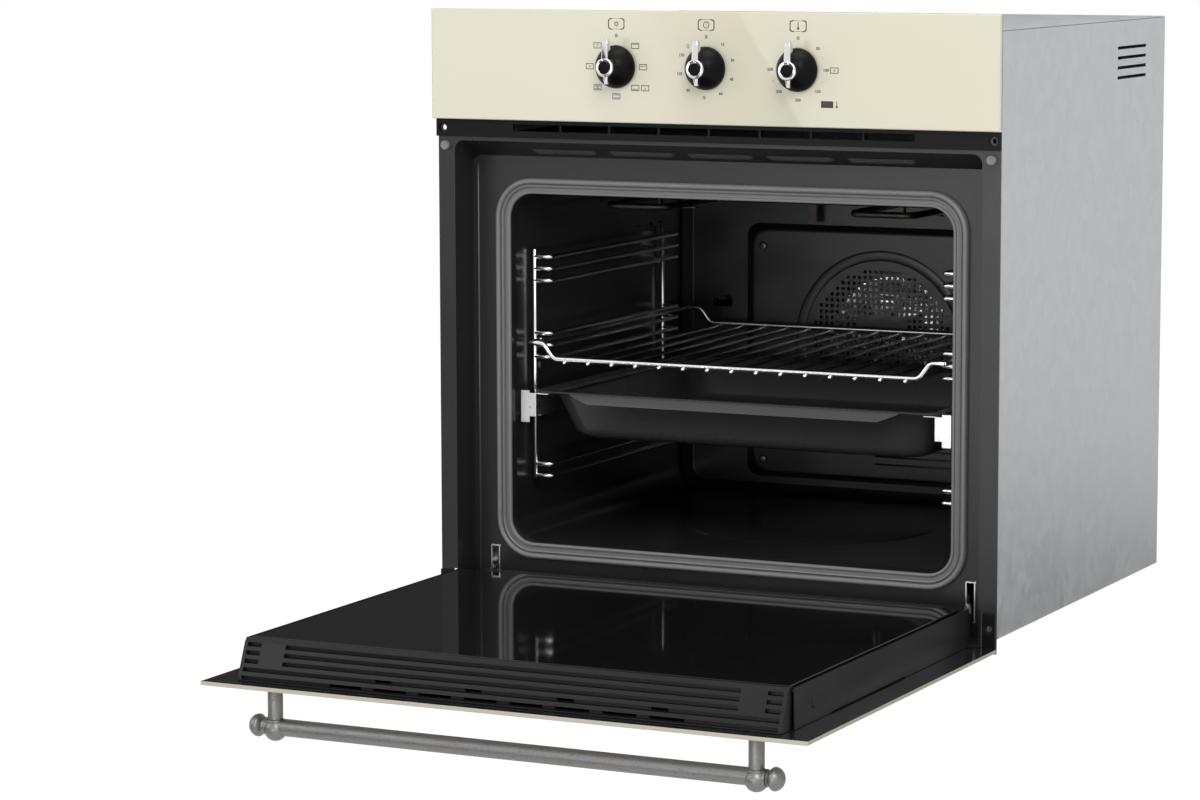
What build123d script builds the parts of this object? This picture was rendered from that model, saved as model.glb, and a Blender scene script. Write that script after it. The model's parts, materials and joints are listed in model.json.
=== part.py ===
from build123d import *

import math
import os

# A built-in oven, 60 cm wide, with its drop-down door open.
# Millimetres. X runs to the right seen from the front, Y runs into the cabinet, Z is up.
# The origin is the middle of the casing's underside, which rests on the cabinet's shelf.

# Front of the oven
FRONT_WIDTH = 595.0
FRONT_HEIGHT = 598.0
FRONT_DROP = 5.0            # the front hangs this far below the casing's underside
FACE_PROUD = 11.5           # panel and closed door stand this far ahead of the cabinet
PANEL_HEIGHT = 108.0
PANEL_INSET = 2.5           # frame, carrier and trims are this much narrower on each side
GLASS = 4.0
GLASS_BEVEL = 0.8
VENT_HEIGHT = 17.5
TRIM = 3.0                  # thickness of the black trims on the front frame

# Casing
CASE_WIDTH = 558.0
CASE_BELOW = 16.0           # the casing's top lies this far below the panel's top
CASE_DEPTH = 525.0
SHEET = 1.0
FLANGE = 2.5                # folded edge of the front frame that laps the cabinet

# Cavity
CAVITY_WIDTH = 466.0
CAVITY_HEIGHT = 346.0
CAVITY_DEPTH = 406.0
CAVITY_FLOOR = 62.0
CAVITY_CORNER = 24.0
MOUTH_FLARE = 3.5
RECESS_DEPTH = 39.0         # from the frame's flange back to the face round the mouth

# Door, by its place when it is closed
DOOR_GAP = 10.0             # air gap under the control panel
DOOR_BOTTOM = 29.0
DOOR_THICKNESS = 41.5
DOOR_BODY_WIDTH = 540.0
DOOR_BODY_BELOW = 30.5      # the body starts this far below the glass's top edge
DOOR_BODY_SLOPE = 16.0      # and leans back by this much over its thickness
HINGE_Z = 14.7
OPEN_FACE_Z = -3.0          # underside of the open door
PROFILE = 1.5               # wall of the door's side profiles

# Handle
HANDLE_SPACING = 473.0
HANDLE_BELOW_EDGE = 30.0
HANDLE_STAND = 40.0
HANDLE_BAR_R = 7.0
HANDLE_POST_R = 8.0
KNUCKLE_R = 11.5
FINIAL_LENGTH = 15.5
FINIAL_R = 10.5

# Knobs
KNOB_SPACING = 95.0
KNOB_SKIRT_R = 20.5
KNOB_HEIGHT = 35.0
KNOB_DOME = 19.0
KNOB_CORE_R = 5.9
KNOB_HUB_R = 8.2
LEVER_REACH = 27.0
SPINDLE_R = 3.0

# Racks, shelf and pan
WIRE_R = 2.25
RACK_WIRE_X = 228.0
RACK_ROD_X = 210.0
RACK_FRONT = 37.0           # behind the cavity's mouth
RACK_LENGTH = 300.0
RACK_TOP = 351.0
RACK_BOTTOM = 120.5
SHELF_WIRE_R = 2.5
SHELF_BAR_R = 1.75
SHELF_HALF = 221.0
SHELF_FRONT = 13.0
SHELF_DEPTH = 375.0
SHELF_DROP = 15.5
SHELF_BARS = 15
SHELF_PITCH = 26.0
SHELF_WELD = 1.2            # how far a bar sinks into the wires that it is welded to
PAN_HALF = 218.5
PAN_DEPTH = 365.0
PAN_HEIGHT = 43.0
PAN_RIM_Z = 212.0
PAN_BEAD = 2.5

# Hot parts
FAN_Z = 230.0
HOLE_PITCH = 21.0
HOLE_SIDE = 12.6
HOLE_FIELD_R = 77.0
ELEMENT_R = 3.25
MOTOR_SHAFT_R = 3.0

FLATS = 8                   # sides of pins, small holes and fasteners
WIRE_FLATS = 6              # sides of thin wires

# Fits
FIT = 0.05                  # radial play of a turning pin or shaft
GAP = 0.3                   # seat of one piece in or on another

# Planes and edges that follow from the sizes above
CABINET_Y = -CASE_DEPTH / 2
FLANGE_Y = CABINET_Y - FLANGE
FACE_Y = CABINET_Y - FACE_PROUD
FRAME_Y = FLANGE_Y + RECESS_DEPTH
BACK_Y = CASE_DEPTH / 2
CAVITY_BACK = FRAME_Y + CAVITY_DEPTH
TOP_Z = FRONT_HEIGHT - FRONT_DROP
CASE_HEIGHT = TOP_Z - CASE_BELOW
PANEL_Z = TOP_Z - PANEL_HEIGHT
VENT_Z = PANEL_Z - VENT_HEIGHT
CAVITY_TOP = CAVITY_FLOOR + CAVITY_HEIGHT
FRONT_HALF = FRONT_WIDTH / 2
FLANGE_HALF = FRONT_HALF - PANEL_INSET
CASE_HALF = CASE_WIDTH / 2
RECESS_HALF = CASE_HALF - 2 * SHEET
CAVITY_HALF = CAVITY_WIDTH / 2
RECESS_TOP = VENT_Z - 3.5
RECESS_SLOPE = 17.0
HINGE_Y = FACE_Y + HINGE_Z - OPEN_FACE_Z
DOOR_TOP = PANEL_Z - DOOR_GAP
BODY_HALF = DOOR_BODY_WIDTH / 2
KNOB_Z = PANEL_Z + PANEL_HEIGHT / 2
AIR_Z = VENT_Z + 10.0
AIR_HALF = 212.0
FIXING_X = (FLANGE_HALF + RECESS_HALF) / 2 + 2.5
FIXING_TOP = PANEL_Z - 9.0
FIXING_BOTTOM = 19.0
FIXING_R = 2.5
FIXING_HEAD_R = 4.8
HINGE_X = 254.5
SLOT_WIDTH = 10.5
SLOT_BOTTOM = 15.0
SLOT_TOP = 55.5
ARM = 4.0
PIN_R = 3.0


def door_y(height):
    """Place along Y, with the door open, of what is at this height when it is closed."""
    return HINGE_Y - (height - HINGE_Z)


def door_z(depth):
    """Height, with the door open, of what is this far behind the closed door's face."""
    return OPEN_FACE_Z + depth


def span(half):
    """Low and high values of a width that is centred on the oven."""
    return -half, half


def block(xs, ys, zs):
    """A box between the low and high values of each axis."""
    low, high = zip(xs, ys, zs)
    size = [b - a for a, b in zip(low, high)]
    middle = [(a + b) / 2 for a, b in zip(low, high)]
    return Pos(*middle) * Box(*size)


def prism_x(sketch, x0, x1):
    """Runs a sketch of Y and Z from x0 to x1."""
    plane = Plane((x0, 0, 0), x_dir=(0, 1, 0), z_dir=(1, 0, 0))
    return extrude(plane * sketch, amount=x1 - x0)


def prism_y(sketch, y0, y1):
    """Runs a sketch of X and Z from y0 to y1."""
    plane = Plane((0, y1, 0), x_dir=(1, 0, 0), z_dir=(0, -1, 0))
    return extrude(plane * sketch, amount=y1 - y0)


def soft_window(half, z0, z1, radius):
    """A rectangle of X and Z with round corners, centred on the oven."""
    return Pos(0, (z0 + z1) / 2) * RectangleRounded(2 * half, z1 - z0, radius)


def outline(*points):
    """A flat shape with straight sides."""
    return make_face(Polyline(*points, close=True))


def rod(start, end, radius):
    """A round bar from one point to another."""
    start, end = Vector(*start), Vector(*end)
    plane = Plane(start, z_dir=(end - start).normalized())
    return extrude(plane * Circle(radius), amount=(end - start).length)


def flatted(radius, flats=FLATS):
    """Section of a bar with flats: its corners lie on the radius."""
    return RegularPolygon(radius, flats, rotation=180 / flats)


def pin(start, end, radius, flats=FLATS):
    """A straight thin bar with flats."""
    start, end = Vector(*start), Vector(*end)
    plane = Plane(start, z_dir=(end - start).normalized())
    return extrude(plane * flatted(radius, flats), amount=(end - start).length)


def straight_wire(start, end, radius):
    """A straight piece of wire."""
    return pin(start, end, radius, WIRE_FLATS)


def clear_of(radius):
    """Corner radius of a flatted hole whose flats stay clear of a pin of this radius."""
    return (radius + FIT) / math.cos(math.pi / FLATS)


def eased(points, cut):
    """The same path with each corner cut off this far from its point."""
    points = [Vector(*point) for point in points]
    path = [points[0]]
    for before, corner, after in zip(points, points[1:], points[2:]):
        path.append(corner + (before - corner).normalized() * cut)
        path.append(corner + (after - corner).normalized() * cut)
    return path + [points[-1]]


def wire(points, radius, cut=0):
    """A thin bar along a path, with mitred corners that may be eased first."""
    path = eased(points, cut) if cut else [Vector(*point) for point in points]
    plane = Plane(path[0], z_dir=(path[1] - path[0]).normalized())
    return sweep(plane * flatted(radius, WIRE_FLATS), path=Polyline(*path), transition=Transition.RIGHT)


def turned_y(profile, x, z):
    """Turns a sketch of radius and Y about an axis that runs front to back."""
    return Pos(x, 0, z) * revolve(profile, Axis.Y)


def turned_z(profile, x, y):
    """Turns a sketch of radius (as X) and height (as Y) about an upright axis."""
    upright = Plane((0, 0, 0), x_dir=(1, 0, 0), z_dir=(0, -1, 0)) * profile
    return Pos(x, y, 0) * revolve(upright, Axis.Z)


def turned_x(profile, y, z):
    """Turns a sketch of X and radius (as Y) about an axis that runs across."""
    return Pos(0, y, z) * revolve(profile, Axis.X)


def bored_y(x, z, radius, y0, y1):
    """A round hole that runs front to back."""
    return rod((x, y0, z), (x, y1, z), radius)


def drilled_y(x, z, radius, y0, y1):
    """A small hole that runs front to back, with flats."""
    return pin((x, y0, z), (x, y1, z), radius)


def both_sides(shape):
    """A piece and its mirror image, as separate solids."""
    return Compound(children=[*shape.solids(), *mirror(shape, Plane.YZ).solids()])


def group(pieces):
    """Several pieces as separate solids of one node."""
    return Compound(children=[solid for piece in pieces for solid in piece.solids()])


def knob_places():
    """Centres of the three knobs along X."""
    return [-KNOB_SPACING, 0.0, KNOB_SPACING]


# Control panel

PILOT_X = 124.8
PILOT_Z = PANEL_Z + 22.0
PILOT_WIDTH = 12.4
PILOT_HEIGHT = 6.2
CARRIER_WALL = 2.0
CARRIER_BACK = CABINET_Y
SPINDLE_HOLE_R = 7.0


def control_panel():
    """Glass of the control panel."""
    glass = block(span(FRONT_HALF), (FACE_Y, FACE_Y + GLASS), (PANEL_Z, TOP_Z))
    glass = chamfer(glass.faces().sort_by(Axis.Y)[0].edges(), GLASS_BEVEL)
    for x in knob_places():
        glass -= drilled_y(x, KNOB_Z, SPINDLE_HOLE_R, FACE_Y - 1, FACE_Y + GLASS + 1)
    glass -= pilot_block(0, FACE_Y - 1, FACE_Y + GLASS + 1)
    return glass


def pilot_block(grow, y0, y1):
    """A block the size of the pilot window, larger by grow on each side."""
    half_x = PILOT_WIDTH / 2 + grow
    half_z = PILOT_HEIGHT / 2 + grow
    return block((PILOT_X - half_x, PILOT_X + half_x), (y0, y1), (PILOT_Z - half_z, PILOT_Z + half_z))


def pilot_lens():
    """Lens of the pilot lamp: a stem in the glass and a collar behind it."""
    back = FACE_Y + GLASS
    collar = 1.5
    return pilot_block(-0.15, FACE_Y + 0.2, back + 0.1) + pilot_block(collar, back + 0.1, back + 1.5)


def panel_carrier():
    """Moulded tray behind the glass, with a boss for each spindle."""
    front = FACE_Y + GLASS
    half = FLANGE_HALF
    tray = block(span(half), (front, CARRIER_BACK), (PANEL_Z + 2, TOP_Z - 2))
    inside = block(span(half - CARRIER_WALL), (front + CARRIER_WALL, CARRIER_BACK + 1),
                   (PANEL_Z + 2 + CARRIER_WALL, TOP_Z - 2 - CARRIER_WALL))
    tray -= inside
    for x in knob_places():
        boss = drilled_y(x, KNOB_Z, SPINDLE_HOLE_R + 4, front + 1, CARRIER_BACK)
        tray += boss
        tray -= drilled_y(x, KNOB_Z, SPINDLE_HOLE_R, front - 1, CARRIER_BACK + 1)
    rib_z = (PANEL_Z + 12, TOP_Z - 12)
    for x in (-1.5 * KNOB_SPACING, 1.5 * KNOB_SPACING + 10):
        tray += block((x - 1, x + 1), (front + 1, CARRIER_BACK), rib_z)
    tray -= pilot_block(2, front - 1, CARRIER_BACK + 1)
    return tray


def switch_rail():
    """Steel front of the switch compartment, with folded edges."""
    low = PANEL_Z + 2
    high = CASE_HEIGHT - SHEET
    rail = block(span(RECESS_HALF), (CABINET_Y, CABINET_Y + SHEET), (low, high))
    rail += block(span(RECESS_HALF), (CABINET_Y, CABINET_Y + 14), (low, low + SHEET))
    rail += block(span(RECESS_HALF), (CABINET_Y, CABINET_Y + 14), (high - SHEET, high))
    for x in knob_places():
        rail -= drilled_y(x, KNOB_Z, SPINDLE_HOLE_R, CABINET_Y - 1, CABINET_Y + SHEET + 1)
    rail -= pilot_block(2, CABINET_Y - 1, CABINET_Y + SHEET + 1)
    return rail


def knob(x):
    """Black knob: a domed skirt and the core that carries the lever."""
    base = FACE_Y - 0.8
    top = FACE_Y - KNOB_DOME
    front = FACE_Y - KNOB_HEIGHT - 0.6
    skirt = turned_y(outline((0, base), (KNOB_SKIRT_R, base), (KNOB_SKIRT_R, base - 3.5), (16.6, base - 11),
                             (KNOB_HUB_R + 0.4, top), (0, top)), x, KNOB_Z)
    body = skirt + pin((x, top + 1, KNOB_Z), (x, front, KNOB_Z), KNOB_CORE_R)
    return body - pin((x, base + 1, KNOB_Z), (x, top - 8, KNOB_Z), SPINDLE_R + 2 * FIT)


def lever(x):
    """Bright lever: a sleeve on the knob's core, a tapering arm and a short tail, with its spindle."""
    back = FACE_Y - KNOB_DOME - 0.1
    front = FACE_Y - KNOB_HEIGHT
    sleeve = pin((x, back, KNOB_Z), (x, front, KNOB_Z), KNOB_HUB_R)
    arm = loft(Sketch() + [
        Plane((x, (back + front) / 2, KNOB_Z)) * Rectangle(9.4, abs(front - back) - 1),
        Plane((x, FACE_Y - 23.5, KNOB_Z + LEVER_REACH)) * Rectangle(5.0, 5.0)])
    tail = loft(Sketch() + [
        Plane((x, (back + front) / 2 - 1, KNOB_Z - 14.5)) * Rectangle(2.6, 6.0),
        Plane((x, (back + front) / 2, KNOB_Z)) * Rectangle(6.0, 12.0)])
    handle = sleeve + arm + tail
    handle -= drilled_y(x, KNOB_Z, KNOB_CORE_R + 2 * FIT, front - 2, back + 2)
    return group([handle, spindle(x)])


def spindle(x):
    """Spindle of a switch, with a flat for the knob."""
    front = FACE_Y - KNOB_DOME - 7.5
    back = CABINET_Y + SHEET + 12
    return pin((x, front, KNOB_Z), (x, back, KNOB_Z), SPINDLE_R)


def switch_body(x, width, height, depth):
    """Body of a switch or timer behind the rail, with a round bush and terminals."""
    front = CABINET_Y + SHEET
    case = block((x - width / 2, x + width / 2), (front + 3, front + depth),
                 (KNOB_Z - height / 2, KNOB_Z + height / 2))
    case += drilled_y(x, KNOB_Z, SPINDLE_HOLE_R + 5, front, front + 4)
    for step in (-1, 0, 1):
        tag = x + step * width / 3.4
        case += block((tag - 3, tag + 3), (front + depth, front + depth + 7),
                      (KNOB_Z + height / 4, KNOB_Z + height / 4 + 0.8))
    return case - drilled_y(x, KNOB_Z, clear_of(SPINDLE_R), front - 1, front + 12.5)


# Front frame and its trims

FLANGE_STEP = 0.6           # the flange is this much thinner between the casing's sides
SLOT_COUNT = 8
SLOT_PITCH = 53.0
SLOT_BAR = 2.5
AIR_HEIGHT = 6.8
BUMPER_R = 4.75
BUMPER_DOWN = 9.0
BEAD_X = 271.4
LOUVRE_COUNT = 5
LOUVRE_PITCH = 83.6
LOUVRE_LENGTH = 67.5
BASE_BLOCK = 34.0
BASE_NOTCH_HALF = 282.0


def fixing_holes(radius, y0, y1, heights):
    """Round holes for the screws that hold the oven in its cabinet."""
    return [bored_y(side * FIXING_X, z, radius, y0, y1) for side in (-1, 1) for z in heights]


def recess(half, top, slope_foot, front, back, low, corner):
    """The space that the door closes into, with a sloping roof and round top corners."""
    profile = outline((front, low), (front, top), (back, slope_foot), (back, low))
    solid = prism_x(profile, -half, half)
    edges = [e for e in solid.edges() if e.center().Z > slope_foot and abs(e.center().X) > half - 1]
    roof = [e for e in edges if abs(abs(e.center().Y) - abs((front + back) / 2)) < 1]
    return fillet(roof, corner)


def front_frame():
    """Pressed front frame: flange, recess for the door, mouth of the cavity and hinge slots."""
    foot = RECESS_TOP - RECESS_SLOPE
    frame = block(span(FLANGE_HALF), (FLANGE_Y, CABINET_Y), (-FRONT_DROP, PANEL_Z))
    frame -= block(span(CASE_HALF), (CABINET_Y - FLANGE_STEP, CABINET_Y + 1), (RECESS_TOP + SHEET, PANEL_Z + 1))
    frame += recess(CASE_HALF, RECESS_TOP + SHEET, foot + SHEET, CABINET_Y - 1,
                    FRAME_Y + SHEET, 0, 10)
    frame -= recess(RECESS_HALF, RECESS_TOP, foot, FLANGE_Y - 1, FRAME_Y, SHEET, 9)
    frame -= block(span(BASE_NOTCH_HALF), (FLANGE_Y - 1, CABINET_Y), (SHEET, BASE_BLOCK + 1))
    frame -= prism_y(soft_window(CAVITY_HALF + MOUTH_FLARE, CAVITY_FLOOR - MOUTH_FLARE,
                                 CAVITY_TOP + MOUTH_FLARE, CAVITY_CORNER + MOUTH_FLARE),
                     FRAME_Y - 1, FRAME_Y + SHEET + 1)
    frame -= block(span(AIR_HALF), (FLANGE_Y - 1, CABINET_Y + 1),
                   (AIR_Z - AIR_HEIGHT / 2, AIR_Z + AIR_HEIGHT / 2))
    for side in (-1, 1):
        frame += block((side * BEAD_X - 1.6, side * BEAD_X + 1.6), (FRAME_Y - 0.9, FRAME_Y + 0.1),
                       (DOOR_BOTTOM, foot - 2))
        xs = (side * HINGE_X - SLOT_WIDTH / 2, side * HINGE_X + SLOT_WIDTH / 2)
        frame -= block(xs, (FRAME_Y - 2, FRAME_Y + SHEET + 1), (SLOT_BOTTOM, SLOT_TOP))
    frame -= louvres(foot)
    for hole in fixing_holes(FIXING_R, FLANGE_Y - 1, CABINET_Y + 1, (FIXING_TOP, FIXING_BOTTOM)):
        frame -= hole
    return frame


def louvres(foot):
    """Air slits in the recess's sloping roof."""
    y = FRAME_Y - 13
    z = foot + RECESS_SLOPE * 13 / RECESS_DEPTH
    cuts = []
    for i in range(LOUVRE_COUNT):
        x = (i - (LOUVRE_COUNT - 1) / 2) * LOUVRE_PITCH
        half = LOUVRE_LENGTH / 2
        cuts.append(block((x - half, x + half), (y - 1.5, y + 1.5), (z - 4, z + 4)))
    return cuts


def head_holes(heights):
    """Holes in a trim for the heads of those screws."""
    front, back = FLANGE_Y - TRIM - 1, FLANGE_Y + 1
    return [drilled_y(side * FIXING_X, z, FIXING_HEAD_R, front, back) for side in (-1, 1) for z in heights]


def vent_trim():
    """Black slotted bar between the control panel and the door."""
    trim = block(span(FLANGE_HALF + 1), (FLANGE_Y - TRIM, FLANGE_Y), (VENT_Z, PANEL_Z - GAP))
    slot_half = (SLOT_PITCH - SLOT_BAR) / 2
    for i in range(SLOT_COUNT):
        x = (i - (SLOT_COUNT - 1) / 2) * SLOT_PITCH
        trim -= block((x - slot_half, x + slot_half), (FLANGE_Y - TRIM - 1, FLANGE_Y + 1),
                      (AIR_Z - AIR_HEIGHT / 2, AIR_Z + AIR_HEIGHT / 2))
    return trim - head_holes((FIXING_TOP,))


def base_trim():
    """Black bar under the door, with a taller block at each end."""
    trim = block(span(FLANGE_HALF), (FLANGE_Y - TRIM, FLANGE_Y), (GAP - FRONT_DROP, BASE_BLOCK))
    trim -= block(span(BASE_NOTCH_HALF), (FLANGE_Y - TRIM - 1, FLANGE_Y + 1), (SHEET - GAP, BASE_BLOCK + 1))
    return trim - head_holes((FIXING_BOTTOM,))


def bumpers():
    """Two soft buttons that the closed door's glass meets."""
    z = VENT_Z - BUMPER_DOWN
    x = FLANGE_HALF - 8.5
    front = FACE_Y + GLASS + GAP
    return both_sides(pin((x, front, z), (x, FLANGE_Y, z), BUMPER_R))


# Cavity

GASKET_OUT = 14.0           # from the mouth to the gasket's outer edge
GASKET_WIDTH = 12.0
PLATE_HALF = 159.0
PLATE_LOW = 78.0
PLATE_HIGH = 353.0
PLATE_RAISE = 8.0
POCKET_HALF = 142.0
POCKET_DEPTH = 34.0
EMBOSS_R = 128.0
LAMP_X = 176.0
LAMP_Z = 376.0
LAMP_R = 19.0
SENSOR_X = 205.0
SENSOR_Z = 392.0
STUD_Z = 234.0
VENT_HOLE_X = -196.0
VENT_HOLE_Z = 265.0
BLANK_WIDTH = 52.0
BLANK_Z = 21.0
RING_FLATS = 28


def door_gasket():
    """Soft seal round the cavity's mouth: a flat foot with a raised outer bead."""
    outer = CAVITY_HALF + MOUTH_FLARE + GASKET_OUT
    low = CAVITY_FLOOR - MOUTH_FLARE - GASKET_OUT
    high = CAVITY_TOP + MOUTH_FLARE + GASKET_OUT
    radius = CAVITY_CORNER + MOUTH_FLARE + GASKET_OUT - 2
    front = FACE_Y + DOOR_THICKNESS + GAP

    def ring(start, width, y0, y1):
        frame = soft_window(outer - start, low + start, high - start, radius - start)
        frame -= soft_window(outer - start - width, low + start + width, high - start - width,
                             radius - start - width)
        return prism_y(frame, y0, y1)

    seal = ring(0, GASKET_WIDTH, FRAME_Y - 2.5, FRAME_Y)
    return seal + ring(0, 6.8, front, FRAME_Y - 2)


def cavity():
    """Enamelled cavity: flared mouth, drawn box, pocket for the fan and round floor emboss."""
    half, low, high, corner = CAVITY_HALF, CAVITY_FLOOR, CAVITY_TOP, CAVITY_CORNER
    mouth = FRAME_Y + SHEET
    neck = FRAME_Y + 9

    def shell(grow):
        """The cavity's space, larger by grow on every side but the front."""
        flare = MOUTH_FLARE + grow
        start = mouth if grow else mouth - 0.01
        entry = loft(Sketch() + [
            Plane((0, start, 0), x_dir=(1, 0, 0), z_dir=(0, -1, 0)) * soft_window(
                half + flare, low - flare, high + flare, corner + flare),
            Plane((0, neck, 0), x_dir=(1, 0, 0), z_dir=(0, -1, 0)) * soft_window(
                half + grow, low - grow, high + grow, corner + grow)], ruled=True)
        box = prism_y(soft_window(half + grow, low - grow, high + grow, corner + grow),
                      neck, CAVITY_BACK + grow)
        box = chamfer(box.faces().sort_by(Axis.Y)[-1].edges(), 9 + grow / 2)
        pocket = prism_y(soft_window(POCKET_HALF + grow, FAN_Z - 115 - grow, FAN_Z + 105 + grow, 40),
                         CAVITY_BACK - 1, CAVITY_BACK + POCKET_DEPTH + grow)
        return entry + box + pocket

    muffle = shell(SHEET) - shell(0)
    middle = (FRAME_Y + CAVITY_BACK) / 2 + 10
    emboss = turned_z(outline((0, low - 0.2), (EMBOSS_R, low - 0.2), (EMBOSS_R - 4, low + 1), (0, low + 1)),
                      0, middle)
    muffle += emboss
    back = CAVITY_BACK - 2
    end = CAVITY_BACK + POCKET_DEPTH + 3
    muffle -= drilled_y(0, FAN_Z, MOTOR_SHAFT_R + 2, back, end)
    muffle -= drilled_y(LAMP_X, LAMP_Z, LAMP_R - 3, back, end)
    muffle -= drilled_y(SENSOR_X, SENSOR_Z, 2.3, back, end)
    muffle -= drilled_y(VENT_HOLE_X, VENT_HOLE_Z, 5.0, back, end)
    for step in (-1, 0, 1):
        z = VENT_HOLE_Z + 2 + step * 4.5
        muffle -= block((VENT_HOLE_X + 9, VENT_HOLE_X + 18), (back, CAVITY_BACK + 3), (z - 0.9, z + 0.9))
    for x, z in element_ends():
        muffle -= drilled_y(x, z, ELEMENT_R + 0.4, back, end)
    for side in (-1, 1):
        for y in rack_y():
            at = y + STUD_OFFSET
            muffle -= pin((side * (half - 2), at, STUD_Z), (side * (half + 3), at, STUD_Z), STUD_R + GAP)
    return muffle


def plate_outline(grow, z_grow, radius):
    """Outline of the fan cover, smaller by grow across and z_grow in height."""
    return soft_window(PLATE_HALF - grow, PLATE_LOW + z_grow, PLATE_HIGH - z_grow, radius)


def fan_cover():
    """Rear cover: a shallow tray with a ring emboss and a field of square holes before the fan."""
    base = CAVITY_BACK - 0.3
    face = base - PLATE_RAISE

    def tray(inset, depth):
        return loft(Sketch() + [
            Plane((0, base - depth, 0), x_dir=(1, 0, 0), z_dir=(0, -1, 0)) * plate_outline(inset, inset, 14),
            Plane((0, face + inset, 0), x_dir=(1, 0, 0), z_dir=(0, -1, 0)) * plate_outline(
                24 + inset, 10 + inset, 26)], ruled=True)

    plate = tray(0, 0) - tray(SHEET, -0.2)
    ring = Pos(0, FAN_Z) * (RegularPolygon(97, RING_FLATS) - RegularPolygon(90, RING_FLATS))
    plate += prism_y(ring, face - 0.8, face + 0.5)
    holes = []
    steps = int(HOLE_FIELD_R // HOLE_PITCH)
    for i in range(-steps, steps + 1):
        for j in range(-steps, steps + 1):
            x, z = i * HOLE_PITCH, j * HOLE_PITCH
            blank = abs(x) < BLANK_WIDTH / 2 + 2 and abs(z - BLANK_Z) < 8
            if math.hypot(x, z) > HOLE_FIELD_R - HOLE_SIDE / 2 or blank:
                continue
            holes.append(Pos(x, FAN_Z + z) * Rectangle(HOLE_SIDE, HOLE_SIDE))
    plate -= prism_y(Sketch() + holes, face - 1, face + SHEET + 1)
    for x, z in cover_screw_places():
        plate += drilled_y(x, z, 9, face + 0.5, base)
        plate -= drilled_y(x, z, 2.2, face - 1, base + 1)
    return plate


def cover_screw_places():
    """Places of the fan cover's screws."""
    return [(side * (PLATE_HALF - 22), z) for side in (-1, 1) for z in (PLATE_LOW + 20, PLATE_HIGH - 24)]


def screw_y(x, z, y, length, head_r=4.5, shank_r=2.0, head=2.4):
    """A pan-head screw that points into the cabinet, with its head's underside at y."""
    return pin((x, y - head, z), (x, y, z), head_r) + pin((x, y, z), (x, y + length, z), shank_r)


def cavity_screws():
    """Screws that hold the fan cover, and the shouldered studs that hold the racks."""
    face = CAVITY_BACK - 0.3 - PLATE_RAISE
    screws = [screw_y(x, z, face, PLATE_RAISE) for x, z in cover_screw_places()]
    for y in rack_y():
        at = y + STUD_OFFSET
        head = RACK_WIRE_X - WIRE_R - GAP
        stud = pin((CAVITY_HALF + SHEET + 0.8, at, STUD_Z), (head, at, STUD_Z), STUD_R)
        stud += pin((head, at, STUD_Z), (head - 3.5, at, STUD_Z), STUD_HEAD_R)
        screws.append(both_sides(stud))
    return group(screws)


# Heating elements, lamp and sensor

GRILL_Z = CAVITY_TOP - 13.0
GRILL_HALF = 165.0
GRILL_STEP = 66.0
BOTTOM_HALF = 170.0
RING_R = 88.0
RING_STEPS = 20


def element_ends():
    """Where element legs pass the cavity's back wall."""
    return [(side * GRILL_STEP / 2, GRILL_Z) for side in (-1, 1)]


def grill_element():
    """Grill element under the cavity's roof: one tube in wide loops, and the strips it hangs from."""
    near = FRAME_Y + 70
    far = CAVITY_BACK - 30
    half = GRILL_STEP / 2
    wide = GRILL_HALF
    end = CAVITY_BACK + 14
    points = [(-half, end, GRILL_Z), (-half, far, GRILL_Z), (-wide, far, GRILL_Z), (-wide, near, GRILL_Z),
              (-wide + GRILL_STEP, near, GRILL_Z), (-wide + GRILL_STEP, far - 50, GRILL_Z),
              (wide - GRILL_STEP, far - 50, GRILL_Z), (wide - GRILL_STEP, near, GRILL_Z),
              (wide, near, GRILL_Z), (wide, far, GRILL_Z), (half, far, GRILL_Z), (half, end, GRILL_Z)]
    strips = [wire(points, ELEMENT_R, 10)]
    for x in (-GRILL_HALF + GRILL_STEP / 2, GRILL_HALF - GRILL_STEP / 2):
        y = FRAME_Y + 130
        strap = block((x - 40, x + 40), (y - 4, y + 4), (GRILL_Z - ELEMENT_R - 1.5, GRILL_Z - ELEMENT_R - GAP))
        strap += block((x - 1, x + 1), (y - 4, y + 4), (GRILL_Z - ELEMENT_R - 1, CAVITY_TOP))
        strips.append(strap)
    x = -78.0
    strips.append(block((x - 4.5, x + 4.5), (CAVITY_BACK - 14, CAVITY_BACK - 12.8), (PLATE_HIGH + 2, CAVITY_TOP)))
    return group(strips)


def bottom_element():
    """Element under the cavity's floor."""
    z = CAVITY_FLOOR - SHEET - ELEMENT_R - GAP
    near = FRAME_Y + 60
    far = CAVITY_BACK - 60
    end = CAVITY_BACK + 30
    points = [(-25, end, z), (-25, far, z), (-BOTTOM_HALF, far, z), (-BOTTOM_HALF, near, z),
              (BOTTOM_HALF, near, z), (BOTTOM_HALF, far, z), (25, far, z), (25, end, z)]
    return wire(points, ELEMENT_R, 14)


def ring_element():
    """Ring element round the fan, with two legs through the pocket's back."""
    y = CAVITY_BACK + 12
    steps = [math.radians(-78 + i * 336 / RING_STEPS) for i in range(RING_STEPS + 1)]
    path = [(RING_R * math.cos(a), y, FAN_Z + RING_R * math.sin(a)) for a in steps]
    end = CAVITY_BACK + POCKET_DEPTH - GAP
    first, last = [(x, end, z) for x, _, z in (path[0], path[-1])]
    return wire([first, *path, last], ELEMENT_R)


def lamp_holder():
    """Socket behind the cavity's back wall."""
    y = CAVITY_BACK + SHEET + GAP
    cup = pin((LAMP_X, y, LAMP_Z), (LAMP_X, y + 34, LAMP_Z), LAMP_R - 1)
    return cup - pin((LAMP_X, y - 1, LAMP_Z), (LAMP_X, y + 30, LAMP_Z), LAMP_R - 3)


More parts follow.
